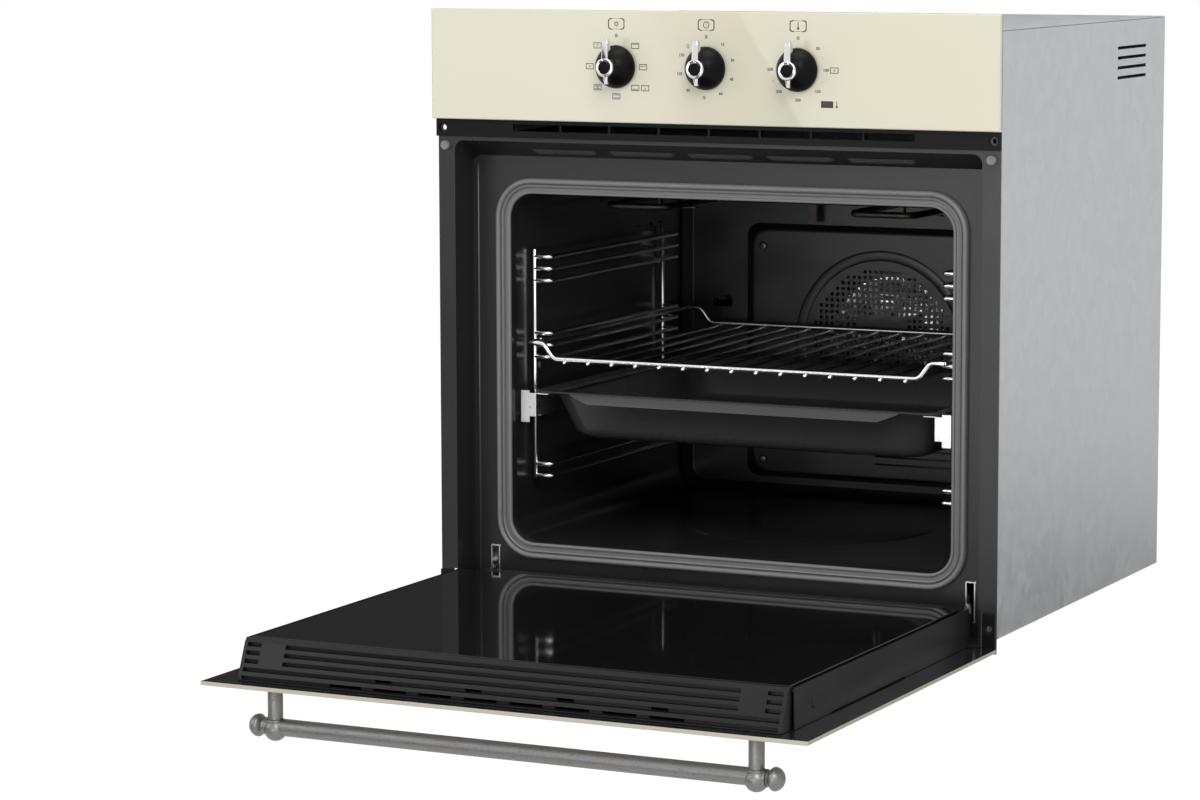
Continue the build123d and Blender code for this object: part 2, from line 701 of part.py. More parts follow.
def lamp_glass():
    """Domed lamp glass with a round rim, screwed into the socket."""
    wall = CAVITY_BACK - GAP
    dome = outline((LAMP_R, wall), (LAMP_R, wall - 4), (LAMP_R - 9, wall - 14), (0, wall - 14),
                   (0, wall - 12), (LAMP_R - 10, wall - 12), (LAMP_R - 5, wall))
    return turned_y(dome, LAMP_X, LAMP_Z)


def lamp_bulb():
    """Small oven bulb."""
    y = CAVITY_BACK + SHEET + GAP
    bulb = pin((LAMP_X, y - 3, LAMP_Z), (LAMP_X, y + 9, LAMP_Z), 8)
    return bulb + pin((LAMP_X, y + 9, LAMP_Z), (LAMP_X, y + 29.7, LAMP_Z), 6)


def thermostat():
    """Thermostat: its body, and the sensing rod along the roof's corner."""
    x = knob_places()[2]
    body = switch_body(x, 40, 36, 28)
    bulb = pin((SENSOR_X, CAVITY_BACK - 95, SENSOR_Z), (SENSOR_X, CAVITY_BACK + 12, SENSOR_Z), 2.0)
    return group([body, bulb])


# Side racks, runners, shelf and pan

STUD_R = 2.5
STUD_HEAD_R = 6.0
STUD_OFFSET = WIRE_R + STUD_R + GAP
RUNNER_Z = 196.0
UPPER_RODS = (344.0, 332.0, 320.0)
MIDDLE_RODS = (267.0, 255.0, 243.0)
LOWER_RODS = (134.5, 122.5)


def rack_y():
    """Front and back of a side rack."""
    front = FRAME_Y + RACK_FRONT
    return front, front + RACK_LENGTH


def side_racks():
    """Wire racks: two uprights, and guides bent inwards between them."""
    front, back = rack_y()
    wall = RACK_WIRE_X
    inner = RACK_ROD_X
    rack = straight_wire((wall, front, RACK_BOTTOM), (wall, front, RACK_TOP), WIRE_R)
    rack += straight_wire((wall, back, RACK_BOTTOM), (wall, back, RACK_TOP), WIRE_R)
    for z in UPPER_RODS + MIDDLE_RODS + LOWER_RODS:
        rack += wire([(wall, front, z), (inner, front, z), (inner, back, z), (wall, back, z)], WIRE_R)
    return both_sides(rack)


def runners_fixed():
    """Fixed rails of the telescopic runners: C sections carried on the racks' uprights."""
    front, back = rack_y()
    outer = RACK_WIRE_X - WIRE_R - GAP
    rail = block((outer - 9.5, outer), (front - 12, back + 4), (RUNNER_Z - 11, RUNNER_Z + 11))
    rail -= block((outer - 10, outer - 1.3), (front - 13, back + 5), (RUNNER_Z - 9.7, RUNNER_Z + 9.7))
    rail += block((outer - 9.5, outer - 8.2), (front - 12, back + 4), (RUNNER_Z - 11, RUNNER_Z - 7))
    rail += block((outer - 9.5, outer - 8.2), (front - 12, back + 4), (RUNNER_Z + 7, RUNNER_Z + 11))
    return both_sides(rail)


def runners_moving():
    """Moving rails of the runners, with the ledge for the pan and the end plate at the front."""
    front, back = rack_y()
    outer = RACK_WIRE_X - WIRE_R - GAP
    start = FRAME_Y + 10.5
    inside = block((outer - 7.6, outer - 2.0), (front - 11, back), (RUNNER_Z - 6.6, RUNNER_Z + 6.6))
    neck = block((outer - 11.2, outer - 7.5), (start + 1, back), (RUNNER_Z - 2.5, RUNNER_Z + 2.5))
    seat = PAN_RIM_Z - PAN_BEAD
    web = block((outer - 12.4, outer - 11.1), (start, back), (RUNNER_Z - 9, seat))
    ledge = block((outer - 25, outer - 11.1), (start + 1, back), (seat - 1.2, seat))
    plate = block((outer - 5, outer + 4.5), (start - 1.5, start), (RUNNER_Z - 16, RUNNER_Z + 16))
    plate += block((outer - 12.4, outer - 4.9), (start - 1.5, start), (RUNNER_Z - 10, seat))
    link = block((outer - 11.2, outer - 2), (start - 0.1, front - 11), (RUNNER_Z - 2.5, RUNNER_Z + 2.5))
    rail = inside + neck + web + ledge + plate + link
    return both_sides(rail)


def wire_shelf():
    """Wire shelf: side rails, cranked front and back wires, and cross bars under them."""
    front = FRAME_Y + SHELF_FRONT
    back = front + SHELF_DEPTH
    top = MIDDLE_RODS[1] + WIRE_R + SHELF_WIRE_R + GAP
    low = top - SHELF_DROP
    bend_top = SHELF_HALF - 15
    bend_low = bend_top - 12
    shelf = straight_wire((-SHELF_HALF, front, top), (-SHELF_HALF, back, top), SHELF_WIRE_R)
    shelf += straight_wire((SHELF_HALF, front, top), (SHELF_HALF, back, top), SHELF_WIRE_R)
    for y in (front, back):
        shelf += wire([(-SHELF_HALF, y, top), (-bend_top, y, top), (-bend_low, y, low),
                       (bend_low, y, low), (bend_top, y, top), (SHELF_HALF, y, top)], SHELF_WIRE_R)
    bar_z = low - SHELF_WIRE_R - SHELF_BAR_R + SHELF_WELD
    for i in range(SHELF_BARS):
        x = (i - (SHELF_BARS - 1) / 2) * SHELF_PITCH
        shelf += straight_wire((x, front - 3, bar_z), (x, back + 3, bar_z), SHELF_BAR_R)
    return shelf


def pan_ring(half, y0, y1, z, radius):
    """Rounded rectangle of the pan at one height."""
    return Plane((0, (y0 + y1) / 2, z)) * RectangleRounded(2 * half, y1 - y0, radius)


def deep_pan():
    """Enamelled deep pan with sloping sides, a flat rim and a pouring lip at the front."""
    front = FRAME_Y + 10
    back = front + PAN_DEPTH
    rim = PAN_RIM_Z
    floor = rim - PAN_HEIGHT

    def bowl(grow, top, bottom):
        return loft(Sketch() + [
            pan_ring(197 + grow, front + 17 - grow, back - 17 + grow, top, 22 + grow),
            pan_ring(184 + grow, front + 30 - grow, back - 30 + grow, bottom + 9, 22 + grow)],
            ruled=True) + loft(Sketch() + [
                pan_ring(184 + grow, front + 30 - grow, back - 30 + grow, bottom + 9, 22 + grow),
                pan_ring(168 + grow, front + 46 - grow, back - 46 + grow, bottom, 18 + grow)], ruled=True)

    plate = extrude(pan_ring(PAN_HALF, front, back, rim - PAN_BEAD, 16), amount=PAN_BEAD - SHEET)
    edge = extrude(pan_ring(PAN_HALF, front, back, rim - PAN_BEAD, 16), amount=PAN_BEAD)
    edge -= extrude(pan_ring(PAN_HALF - PAN_BEAD, front + PAN_BEAD, back - PAN_BEAD, rim - 3, 13.5), amount=4)
    pan = plate + edge + bowl(SHEET, rim - 2.0, floor)
    pan -= bowl(0, rim + 0.1, floor + SHEET)
    lip = loft(Sketch() + [
        Plane((0, front + 0.6, rim - 1.2)) * Rectangle(350, 1.2),
        Plane((0, front - 4.0, rim - 10.5)) * Rectangle(308, 1.2)], ruled=True)
    return pan + lip


# Fans and motors

IMPELLER_R = 68.0
WHEEL_FLATS = 20
BLADES = 10
COOL_Y = 120.0
COOL_Z = AIR_Z + 19.5
COOL_BLADES = 10
COOL_R = 24.0
COOL_HALF = 105.0


def impeller():
    """Fan wheel: a disc with a hub and bent blades on its front."""
    y = CAVITY_BACK + 22
    wheel = pin((0, y, FAN_Z), (0, y + 1.2, FAN_Z), IMPELLER_R, WHEEL_FLATS)
    wheel += pin((0, y - 6, FAN_Z), (0, y + 2.5, FAN_Z), 9)
    for i in range(BLADES):
        blade = block((24, IMPELLER_R - 2), (y - 13, y + 0.5), (-0.6, 0.6))
        wheel += Pos(0, 0, FAN_Z) * Rot(0, i * 360 / BLADES, 0) * Pos(0, 0, 8) * blade
    return wheel - drilled_y(0, FAN_Z, MOTOR_SHAFT_R + FIT, y - 8, y + 4)


def fan_shaft():
    """Shaft of the convection fan and the nut on its end."""
    shaft = pin((0, CAVITY_BACK + 9.5, FAN_Z), (0, CAVITY_BACK + POCKET_DEPTH + 20, FAN_Z), MOTOR_SHAFT_R)
    y = CAVITY_BACK + 15.7
    nut = prism_y(Pos(0, FAN_Z) * RegularPolygon(6, 6), y - 5, y)
    nut -= drilled_y(0, FAN_Z, MOTOR_SHAFT_R + FIT, y - 6, y + 1)
    return group([shaft, nut])


def fan_motor():
    """Motor behind the cavity: a laminated stack, its coil and a bearing bush."""
    y = CAVITY_BACK + POCKET_DEPTH + SHEET + GAP
    body = block(span(30), (y + 4, y + 26), (FAN_Z - 26, FAN_Z + 26))
    body += block((-22, 22), (y + 4, y + 30), (FAN_Z - 44, FAN_Z - 20))
    body += block(span(40), (y, y + 2), (FAN_Z - 34, FAN_Z + 34))
    body += drilled_y(0, FAN_Z, 10, y, y + 6)
    return body - drilled_y(0, FAN_Z, clear_of(MOTOR_SHAFT_R), y - 1, y + 21)


def cooling_duct():
    """Sheet duct from the cross-flow fan to the slots under the panel."""
    half = AIR_HALF + 3
    low = AIR_Z - 8
    high = AIR_Z + 9
    near = CABINET_Y + GAP
    far = COOL_Y + 38
    profile = outline((near, low), (near, high), (COOL_Y - 60, high + 8), (COOL_Y - 34, COOL_Z + 34),
                      (far, COOL_Z + 34), (far, low))
    hollow = outline((near - 1, low + SHEET), (near - 1, high - SHEET), (COOL_Y - 60, high + 8 - SHEET),
                     (COOL_Y - 34 + SHEET, COOL_Z + 34 - SHEET), (far - SHEET, COOL_Z + 34 - SHEET),
                     (far - SHEET, low + SHEET))
    duct = prism_x(profile, -half, half) - prism_x(hollow, -half + SHEET, half - SHEET)
    duct -= block(span(COOL_HALF), (COOL_Y - 20, COOL_Y + 20), (COOL_Z + 30, COOL_Z + 36))
    duct -= pin((COOL_HALF, COOL_Y, COOL_Z), (half + 1, COOL_Y, COOL_Z), 8)
    return duct


def cooling_rotor():
    """Cross-flow rotor: two end discs and slim blades round them, on a short shaft."""
    wheel = pin((-COOL_HALF, COOL_Y, COOL_Z), (-COOL_HALF + 1.5, COOL_Y, COOL_Z), COOL_R, WHEEL_FLATS)
    wheel += pin((COOL_HALF - 1.5, COOL_Y, COOL_Z), (COOL_HALF, COOL_Y, COOL_Z), COOL_R, WHEEL_FLATS)
    rim = COOL_Z + COOL_R - 0.6
    for i in range(COOL_BLADES):
        blade = block(span(COOL_HALF - 0.2), (COOL_Y - 0.5, COOL_Y + 0.5), (rim - 7.4, rim))
        wheel += blade.rotate(Axis((0, COOL_Y, COOL_Z), (1, 0, 0)), i * 360 / COOL_BLADES)
    return wheel + pin((COOL_HALF - 2, COOL_Y, COOL_Z), (AIR_HALF + 22, COOL_Y, COOL_Z), MOTOR_SHAFT_R)


def cooling_motor():
    """Motor of the cooling fan, beside the duct."""
    x = AIR_HALF + 3 + GAP
    body = block((x, x + 2), (COOL_Y - 26, COOL_Y + 26), (COOL_Z - 24, COOL_Z + 24))
    body += pin((x, COOL_Y, COOL_Z), (x + 12, COOL_Y, COOL_Z), 11)
    body += block((x + 8, x + 34), (COOL_Y - 22, COOL_Y + 22), (COOL_Z - 20, COOL_Z + 20))
    return body - pin((x - 1, COOL_Y, COOL_Z), (x + 20, COOL_Y, COOL_Z), clear_of(MOTOR_SHAFT_R))


# Casing and insulation

BLANKET = 22.0
BLANKET_GAP = 12.0
HUMP_HALF = 110.0
HUMP_DEPTH = 23.0
SIDE_FOLD = 14.0
CASE_SCREWS = 4             # on each side of the back


def insulation():
    """Blanket of mineral wool round the cavity."""
    inner = CAVITY_HALF + SHEET + 1
    low = CAVITY_FLOOR - BLANKET_GAP
    high = CAVITY_TOP + SHEET + 3
    front = FRAME_Y + 11
    back = CAVITY_BACK + POCKET_DEPTH + SHEET + 1
    wool = block(span(inner + BLANKET), (front, back), (low - BLANKET, high + BLANKET))
    wool -= block(span(inner), (front - 1, CAVITY_BACK + SHEET + 36), (low, high))
    wool -= block(span(inner), (CAVITY_BACK, back + 1), (low, high))
    for side in (-1, 1):
        xs = sorted((side * (HINGE_X - 12), side * (inner + BLANKET + 1)))
        wool -= block(xs, (front - 1, ARM_BACK + 7), (low - BLANKET - 1, SLOT_TOP + 10))
    return wool


def side_panels():
    """Sides of the casing, each with a folded edge at the back."""
    outer = CASE_HALF
    wall = (outer - SHEET, outer)
    low, high = SHEET, CASE_HEIGHT - SHEET - GAP
    panel = block(wall, (FRAME_Y + SHEET + GAP, BACK_Y - SHEET), (low, high))
    panel += block(wall, (CABINET_Y + GAP, FRAME_Y + 2 * SHEET), (PANEL_Z + GAP, high))
    panel += block((outer - SIDE_FOLD, outer), (BACK_Y - 2 * SHEET, BACK_Y - SHEET), (low, high))
    for i in range(4):
        z = CASE_HEIGHT - 60 + i * 10
        panel -= block((outer - 2, outer + 1), (BACK_Y - 150, BACK_Y - 60), (z, z + 3))
    return both_sides(panel)


def top_panel():
    """Top cover of the casing with a field of air slots."""
    z = CASE_HEIGHT
    panel = block(span(CASE_HALF), (CABINET_Y + 16, BACK_Y), (z - SHEET, z))
    for i in range(9):
        x = (i - 4) * 24
        panel -= block((x - 4, x + 4), (COOL_Y - 30, COOL_Y + 50), (z - 2, z + 1))
    return panel


def base_panel():
    """Base of the casing, which rests on the cabinet's shelf."""
    panel = block(span(CASE_HALF), (FRAME_Y + SHEET + GAP, BACK_Y - 2 * SHEET - GAP), (0, SHEET))
    for x in (-150, 150):
        panel += block((x - 20, x + 20), (FRAME_Y + 60, BACK_Y - 60), (SHEET - 0.1, SHEET + 6))
        panel -= block((x - 18.8, x + 18.8), (FRAME_Y + 61, BACK_Y - 61), (-0.1, SHEET + 4.8))
    return panel


def back_panel():
    """Back of the casing with a hump over the motor, air slots and an opening for the terminals."""
    wall = (BACK_Y - SHEET, BACK_Y)
    panel = block(span(CASE_HALF), wall, (0, CASE_HEIGHT - SHEET - GAP))
    hump = block(span(HUMP_HALF), (BACK_Y - 0.5, BACK_Y + HUMP_DEPTH), (FAN_Z - 95, FAN_Z + 95))
    hump = chamfer(hump.edges().filter_by(Axis.Y), 18)
    hump = chamfer(hump.faces().sort_by(Axis.Y)[-1].edges(), 9)
    void = block(span(HUMP_HALF - SHEET), (BACK_Y - 3, BACK_Y + HUMP_DEPTH - SHEET), (FAN_Z - 94, FAN_Z + 94))
    void = chamfer(void.edges().filter_by(Axis.Y), 17)
    void = chamfer(void.faces().sort_by(Axis.Y)[-1].edges(), 8.5)
    panel = panel + hump - void
    for i in range(7):
        z = CASE_HEIGHT - 32 - i * 9
        panel -= block((-150, -20), (BACK_Y - 3, BACK_Y + 1), (z, z + 3.5))
    for i in range(6):
        x = (i - 2.5) * 24
        end = BACK_Y + HUMP_DEPTH
        panel -= block((x - 3, x + 3), (end - 3, end + 1), (FAN_Z - 50, FAN_Z + 50))
    return panel


TERMINAL_X = 190.0
TERMINAL_Z = CASE_HEIGHT - 57.0
CABLE_R = 5.0


def terminal_block():
    """Terminal block for the mains lead."""
    y = BACK_Y + GAP
    body = block((TERMINAL_X - 24, TERMINAL_X + 24), (y, y + 14), (TERMINAL_Z - 10, TERMINAL_Z + 10))
    for i in range(5):
        x = TERMINAL_X + (i - 2) * 9
        body -= pin((x, y + 9, TERMINAL_Z), (x, y + 15, TERMINAL_Z), 2.6)
    return body


def terminal_cover():
    """Cover over the terminals, with the hole for the mains lead in its lower side."""
    y = BACK_Y + GAP
    low, high = TERMINAL_Z - 34, TERMINAL_Z + 16
    cover = block((TERMINAL_X - 30, TERMINAL_X + 30), (y, y + 22), (low, high))
    cover = chamfer(cover.edges().filter_by(Axis.Y), 2)
    cover -= block((TERMINAL_X - 28, TERMINAL_X + 28), (y - 1, y + 20), (low + 4, high - 2))
    cover -= rod((TERMINAL_X, y + 11, low - 1), (TERMINAL_X, y + 11, low + 5), CABLE_R + 0.5)
    return cover


def case_screws():
    """Sheet-metal screws of the casing's back, evenly spaced up both sides."""
    low, high = 40.0, CASE_HEIGHT - 37.0
    screws = []
    for side in (-1, 1):
        for i in range(CASE_SCREWS):
            x = side * (CASE_HALF - SIDE_FOLD / 2)
            z = low + (high - low) * i / (CASE_SCREWS - 1)
            screws.append(pin((x, BACK_Y, z), (x, BACK_Y + 2, z), 4))
    return group(screws)


# Hinges

ARM_BACK = FRAME_Y + 46
CASSETTE_LENGTH = 172.0
CASSETTE_HALF = 6.5
EYE_R = 7.5
ARM_SLOT = 19.0             # open length of the channel's web, where the arm comes through when it is shut
RECEIVER_PLAY = 0.25
RECEIVER_WALL = 1.3


def hinge_receivers():
    """Steel pockets behind the frame's slots, whose edges show round the slots."""
    x = HINGE_X
    half = SLOT_WIDTH / 2 - RECEIVER_PLAY
    low, high = SLOT_BOTTOM + RECEIVER_PLAY, SLOT_TOP - RECEIVER_PLAY
    wall = RECEIVER_WALL
    tube = block((x - half, x + half), (FRAME_Y - 0.8, ARM_BACK + 4), (low, high))
    tube = chamfer(tube.edges().filter_by(Axis.Y), 1.2)
    tube -= block((x - half + wall, x + half - wall), (FRAME_Y - 2, ARM_BACK + 2.5), (low + wall, high - wall))
    collar = block((x - 8.5, x + 8.5), (FRAME_Y + SHEET, FRAME_Y + SHEET + 1.5), (low - 5, high + 8))
    collar -= block((x - half + 0.6, x + half - 0.6), (FRAME_Y, FRAME_Y + 4), (low + 0.6, high - 0.6))
    return both_sides(tube + collar)


def hinge_arms():
    """Flat arms hooked into the receivers, with the eyes that the door turns on."""
    x = HINGE_X
    low = SLOT_BOTTOM + RECEIVER_PLAY + RECEIVER_WALL
    tip = FRAME_Y - 6
    under_eye = HINGE_Z - EYE_R + 0.8
    shape = outline((ARM_BACK, low), (ARM_BACK, SLOT_TOP - 4), (FRAME_Y + 20, SLOT_TOP - 4),
                    (FRAME_Y + 12, low + 20), (tip, low + 18), (HINGE_Y + 3, HINGE_Z + EYE_R - 0.6),
                    (HINGE_Y - 3, under_eye), (HINGE_Y + 4, under_eye), (tip, low - 1), (FRAME_Y - 1, low))
    shape += Pos(HINGE_Y, HINGE_Z) * flatted(EYE_R)
    shape -= Pos(HINGE_Y, HINGE_Z) * Circle(PIN_R + FIT)
    return both_sides(prism_x(shape, x - ARM / 2, x + ARM / 2))


def hinge_cassettes():
    """Channels in the door that hold the springs, each with its hinge pin, and slotted for its arm."""
    x = HINGE_X
    near = HINGE_Y - CASSETTE_LENGTH
    low, high = door_z(GLASS + GAP) + PROFILE, door_z(GLASS + 28)
    outer = outline((near, low), (near, high), (HINGE_Y - 6, high), (HINGE_Y + 2, HINGE_Z + 7.5),
                    (HINGE_Y + 2, HINGE_Z - 7), (HINGE_Y - 8, low))
    outer += Pos(HINGE_Y, HINGE_Z) * flatted(EYE_R)
    channel = prism_x(outer, x - CASSETTE_HALF, x + CASSETTE_HALF)
    inside = (x - CASSETTE_HALF + 1.5, x + CASSETTE_HALF - 1.5)
    channel -= block(inside, (near + 2, HINGE_Y + 12), (low - 1, high - 1.5))
    channel -= block(inside, (HINGE_Y - ARM_SLOT, HINGE_Y + 12), (low - 1, high + 1))
    channel -= pin((x - 10, HINGE_Y, HINGE_Z), (x + 10, HINGE_Y, HINGE_Z), clear_of(PIN_R))
    reach = CASSETTE_HALF + 1
    axle = rod((x - reach, HINGE_Y, HINGE_Z), (x + reach, HINGE_Y, HINGE_Z), PIN_R)
    return both_sides(group([channel, axle]))


def hinge_springs():
    """Balance springs in the cassettes, each with its rod."""
    z = door_z(GLASS + 15)
    near = HINGE_Y - CASSETTE_LENGTH + 14
    spring = pin((HINGE_X, near, z), (HINGE_X, near + 90, z), 4.4)
    spring += pin((HINGE_X, near - 10, z), (HINGE_X, near + 118, z), 1.6)
    return both_sides(spring)


# Door

INNER_GLASS_HALF = 264.0
SIDE_FLANGE = 24.0
VENT_TOP_LEDGE = 7.0
LOUVRE_ROWS = 7
LOUVRE_ROW_PITCH = 5.0
LOUVRE_ROW_HEIGHT = 2.6
DOOR_SLOT_PITCH = 45.2
DOOR_SLOT_LENGTH = 32.6
BLOCK_NEAR = 224.0
BLOCK_FAR = 249.0
BODY_END = DOOR_BOTTOM - 10.0


def door_outer_glass():
    """Front glass of the door, with bevelled edges and two holes for the handle."""
    ys = (door_y(DOOR_TOP), door_y(DOOR_BOTTOM))
    glass = block(span(FRONT_HALF), ys, (door_z(0), door_z(GLASS)))
    glass = chamfer(glass.faces().sort_by(Axis.Z)[0].edges(), GLASS_BEVEL)
    for side in (-1, 1):
        x = side * HANDLE_SPACING / 2
        glass -= pin((x, handle_y(), door_z(-1)), (x, handle_y(), door_z(GLASS + 1)), 3)
    return glass


def glass_start():
    """Closed height of the inner glass's top edge."""
    return DOOR_TOP - DOOR_BODY_BELOW - VENT_TOP_LEDGE


def door_inner_glass():
    """Inner glass, flush with the top of the door's body."""
    low = door_z(DOOR_THICKNESS - GLASS)
    plate = block(span(INNER_GLASS_HALF), (door_y(glass_start()), door_y(DOOR_BOTTOM + 14)),
                  (low, low + GLASS))
    return chamfer(plate.faces().sort_by(Axis.Z)[-1].edges(), 0.5)


def door_middle_glass():
    """Loose middle glass inside the door."""
    low = door_z(GLASS + 14)
    half = HINGE_X - CASSETTE_HALF - 3
    return block(span(half), (door_y(glass_start() - 12), door_y(DOOR_BOTTOM + 26)), (low, low + GLASS))


def door_side_profiles():
    """Side profiles of the door: channels that carry the inner glass."""
    wall = (BODY_HALF - PROFILE, BODY_HALF)
    ys = (door_y(glass_start() + 2), door_y(BODY_END))
    top = door_z(DOOR_THICKNESS - GLASS - GAP)
    low = door_z(GLASS + GAP)
    inner = BODY_HALF - SIDE_FLANGE
    rail = block(wall, ys, (low, door_z(DOOR_THICKNESS - 1)))
    shelf = door_y(glass_start())
    rail += block((inner, BODY_HALF), (shelf, door_y(DOOR_BOTTOM + 14)), (top - PROFILE, top))
    rail += block((inner, BODY_HALF), (shelf, door_y(DOOR_BOTTOM + 3)), (low, low + PROFILE))
    through = (BODY_HALF - 4, BODY_HALF + 1)
    high = door_z(DOOR_THICKNESS)
    rail -= block(through, (door_y(DOOR_BOTTOM + 3), ys[1] + 1), (low - 1, door_z(GLASS + 8)))
    rail -= prism_x(outline((ys[1] - 12, high), (ys[1] + 1, high), (ys[1] + 1, high - 14)), *through)
    rail -= block(through, (door_y(DOOR_TOP - 115), door_y(DOOR_BOTTOM + 161)), (low - 1, low + 0.9))
    boss_y, boss_z = door_y(DOOR_TOP - 77), door_z(DOOR_THICKNESS / 2)
    rail += pin((BODY_HALF - 0.5, boss_y, boss_z), (BODY_HALF + 0.6, boss_y, boss_z), 5)
    return both_sides(rail)


def door_vent_profile():
    """Louvred profile along the door's top edge, hollow behind, with bosses for the handle."""
    top_y = door_y(DOOR_TOP - DOOR_BODY_BELOW)
    low, high = door_z(GLASS + GAP), door_z(DOOR_THICKNESS)
    toe = top_y - DOOR_BODY_SLOPE
    back = door_y(glass_start()) - GAP
    half = BODY_HALF - PROFILE - 1.5
    front = outline((toe, low), (toe, low + 3), (top_y - 1, high - 1), (top_y, high), (back, high), (back, low))
    bar = prism_x(front, -half, half)
    hollow = outline((toe + 7, low + 2), (top_y + 5, high - 2.2), (back + 1, high - 2.2), (back + 1, low + 2))
    bar -= prism_x(hollow, -half + 2, half - 2)
    cuts = []
    for row in range(LOUVRE_ROWS):
        z = low + 3.4 + row * LOUVRE_ROW_PITCH
        zs = (z - LOUVRE_ROW_HEIGHT / 2, z + LOUVRE_ROW_HEIGHT / 2)
        depth = toe + 3.4 + (z - low) * DOOR_BODY_SLOPE / (high - low)
        runs = [span(half - 4)]
        if row >= 3:
            runs = [span(BLOCK_NEAR), (BLOCK_FAR, half - 3), (3 - half, -BLOCK_FAR)]
        for run in runs:
            cuts.append(block(run, (toe - 5, depth), zs))
        if row < 2:
            for i in range(8):
                x = (i - 3.5) * DOOR_SLOT_PITCH + row * DOOR_SLOT_PITCH / 2
                reach = DOOR_SLOT_LENGTH / 2
                if x < BLOCK_NEAR - DOOR_SLOT_LENGTH:
                    cuts.append(block((x - reach, x + reach), (toe - 1, toe + 12), zs))
    bar -= cuts
    for side in (-1, 1):
        x = side * HANDLE_SPACING / 2
        bar -= pin((x, handle_y(), low - 1), (x, handle_y(), low + 3), 2.7)
    return bar


def door_bottom_profile():
    """Profile along the door's lower edge, between the hinges, with air slots."""
    half = HINGE_X - CASSETTE_HALF - 2.5
    ys = (door_y(DOOR_BOTTOM + 13.5), door_y(DOOR_BOTTOM - 6))
    low, high = door_z(GLASS + 2), door_z(DOOR_THICKNESS - 1)
    bar = block(span(half), ys, (low, high))
    bar -= block(span(half - 2), (ys[0] - 1, ys[1] - 2), (low + 2, high - 2))
    for i in range(8):
        x = (i - 3.5) * 56
        bar -= block((x - 20, x + 20), (ys[1] - 4, ys[1] + 1), (low + 12, low + 16))
    return bar


def glass_holders():
    """Plastic holders that keep the three glasses apart."""
    holders = []
    half = HINGE_X - CASSETTE_HALF - 3
    middle = door_z(GLASS + 14)
    zs = (door_z(GLASS + 2.5), door_z(DOOR_THICKNESS - GLASS - 2.5))
    for height in (glass_start() - 40, DOOR_BOTTOM + 60):
        y = door_y(height)
        piece = block((half - 9, half + 2.4), (y - 12, y + 12), zs)
        piece -= block((half - 10, half + GAP), (y - 13, y + 13), (middle - GAP, middle + GLASS + GAP))
        holders.append(both_sides(piece))
    return group(holders)


# Handle

def handle_y():
    """Place of the handle's posts along the open door."""
    return door_y(DOOR_TOP - HANDLE_BELOW_EDGE)


def handle_z():
    """Height of the handle's axis under the open door."""
    return door_z(-HANDLE_STAND)


def handle_posts():
    """Posts of the handle, each with a collar, a ball and a bore for the bar."""
    x = HANDLE_SPACING / 2
    z = handle_z()
    top = door_z(0)
    r = HANDLE_POST_R
    collar = r + 1.2
    meet = math.sqrt(KNUCKLE_R ** 2 - collar ** 2)
    foot = 2.0
    low = math.sqrt(KNUCKLE_R ** 2 - foot ** 2)
    with BuildSketch() as profile:
        with BuildLine():
            Polyline((0, top), (r, top), (r, z + meet + 3), (collar, z + meet + 3), (collar, z + meet))
            Polyline((collar, z + meet), (KNUCKLE_R, z + 3.2), (KNUCKLE_R, z - 3.2), (7.4, z - 8.8),
                     (foot, z - low), (0, z - low), (0, top))
        make_face()
    post = turned_z(profile.sketch, x, handle_y())
    post -= rod((x - 20, handle_y(), z), (x + 20, handle_y(), z), HANDLE_BAR_R + FIT)
    post -= pin((x, handle_y(), z + HANDLE_BAR_R + 8), (x, handle_y(), top + 1), 2.3)
    return both_sides(post)


def handle_bar():
    """Round bar of the handle."""
    reach = HANDLE_SPACING / 2 + KNUCKLE_R - 0.5
    return rod((-reach, handle_y(), handle_z()), (reach, handle_y(), handle_z()), HANDLE_BAR_R)


def handle_finials():
    """Turned mushroom ends of the handle."""
    start = HANDLE_SPACING / 2 + KNUCKLE_R - 0.5 + GAP
    end = start + FINIAL_LENGTH
    with BuildSketch() as profile:
        with BuildLine():
            Polyline((start, 0), (start, 5), (start + 2.8, 5), (start + 3.8, 9.4), (start + 6.4, 8.4),
                     (start + 9.4, FINIAL_R), (end, 3.2), (end, 0), (start, 0))
        make_face()
    return both_sides(turned_x(profile.sketch, handle_y(), handle_z()))


def handle_screws():
    """Screws that hold the posts through the glass."""
    x = HANDLE_SPACING / 2
    seat = door_z(GLASS + GAP) + 2
    screw = pin((x, handle_y(), handle_z() + HANDLE_BAR_R + 9), (x, handle_y(), seat), 1.95)
    screw += pin((x, handle_y(), seat), (x, handle_y(), seat + 3), 4.5)
    return both_sides(screw)


def switch_bodies():
    """Function selector and timer behind the rail."""
    left, middle, _ = knob_places()
    return group([switch_body(left, 44, 44, 30), switch_body(middle, 52, 52, 34)])


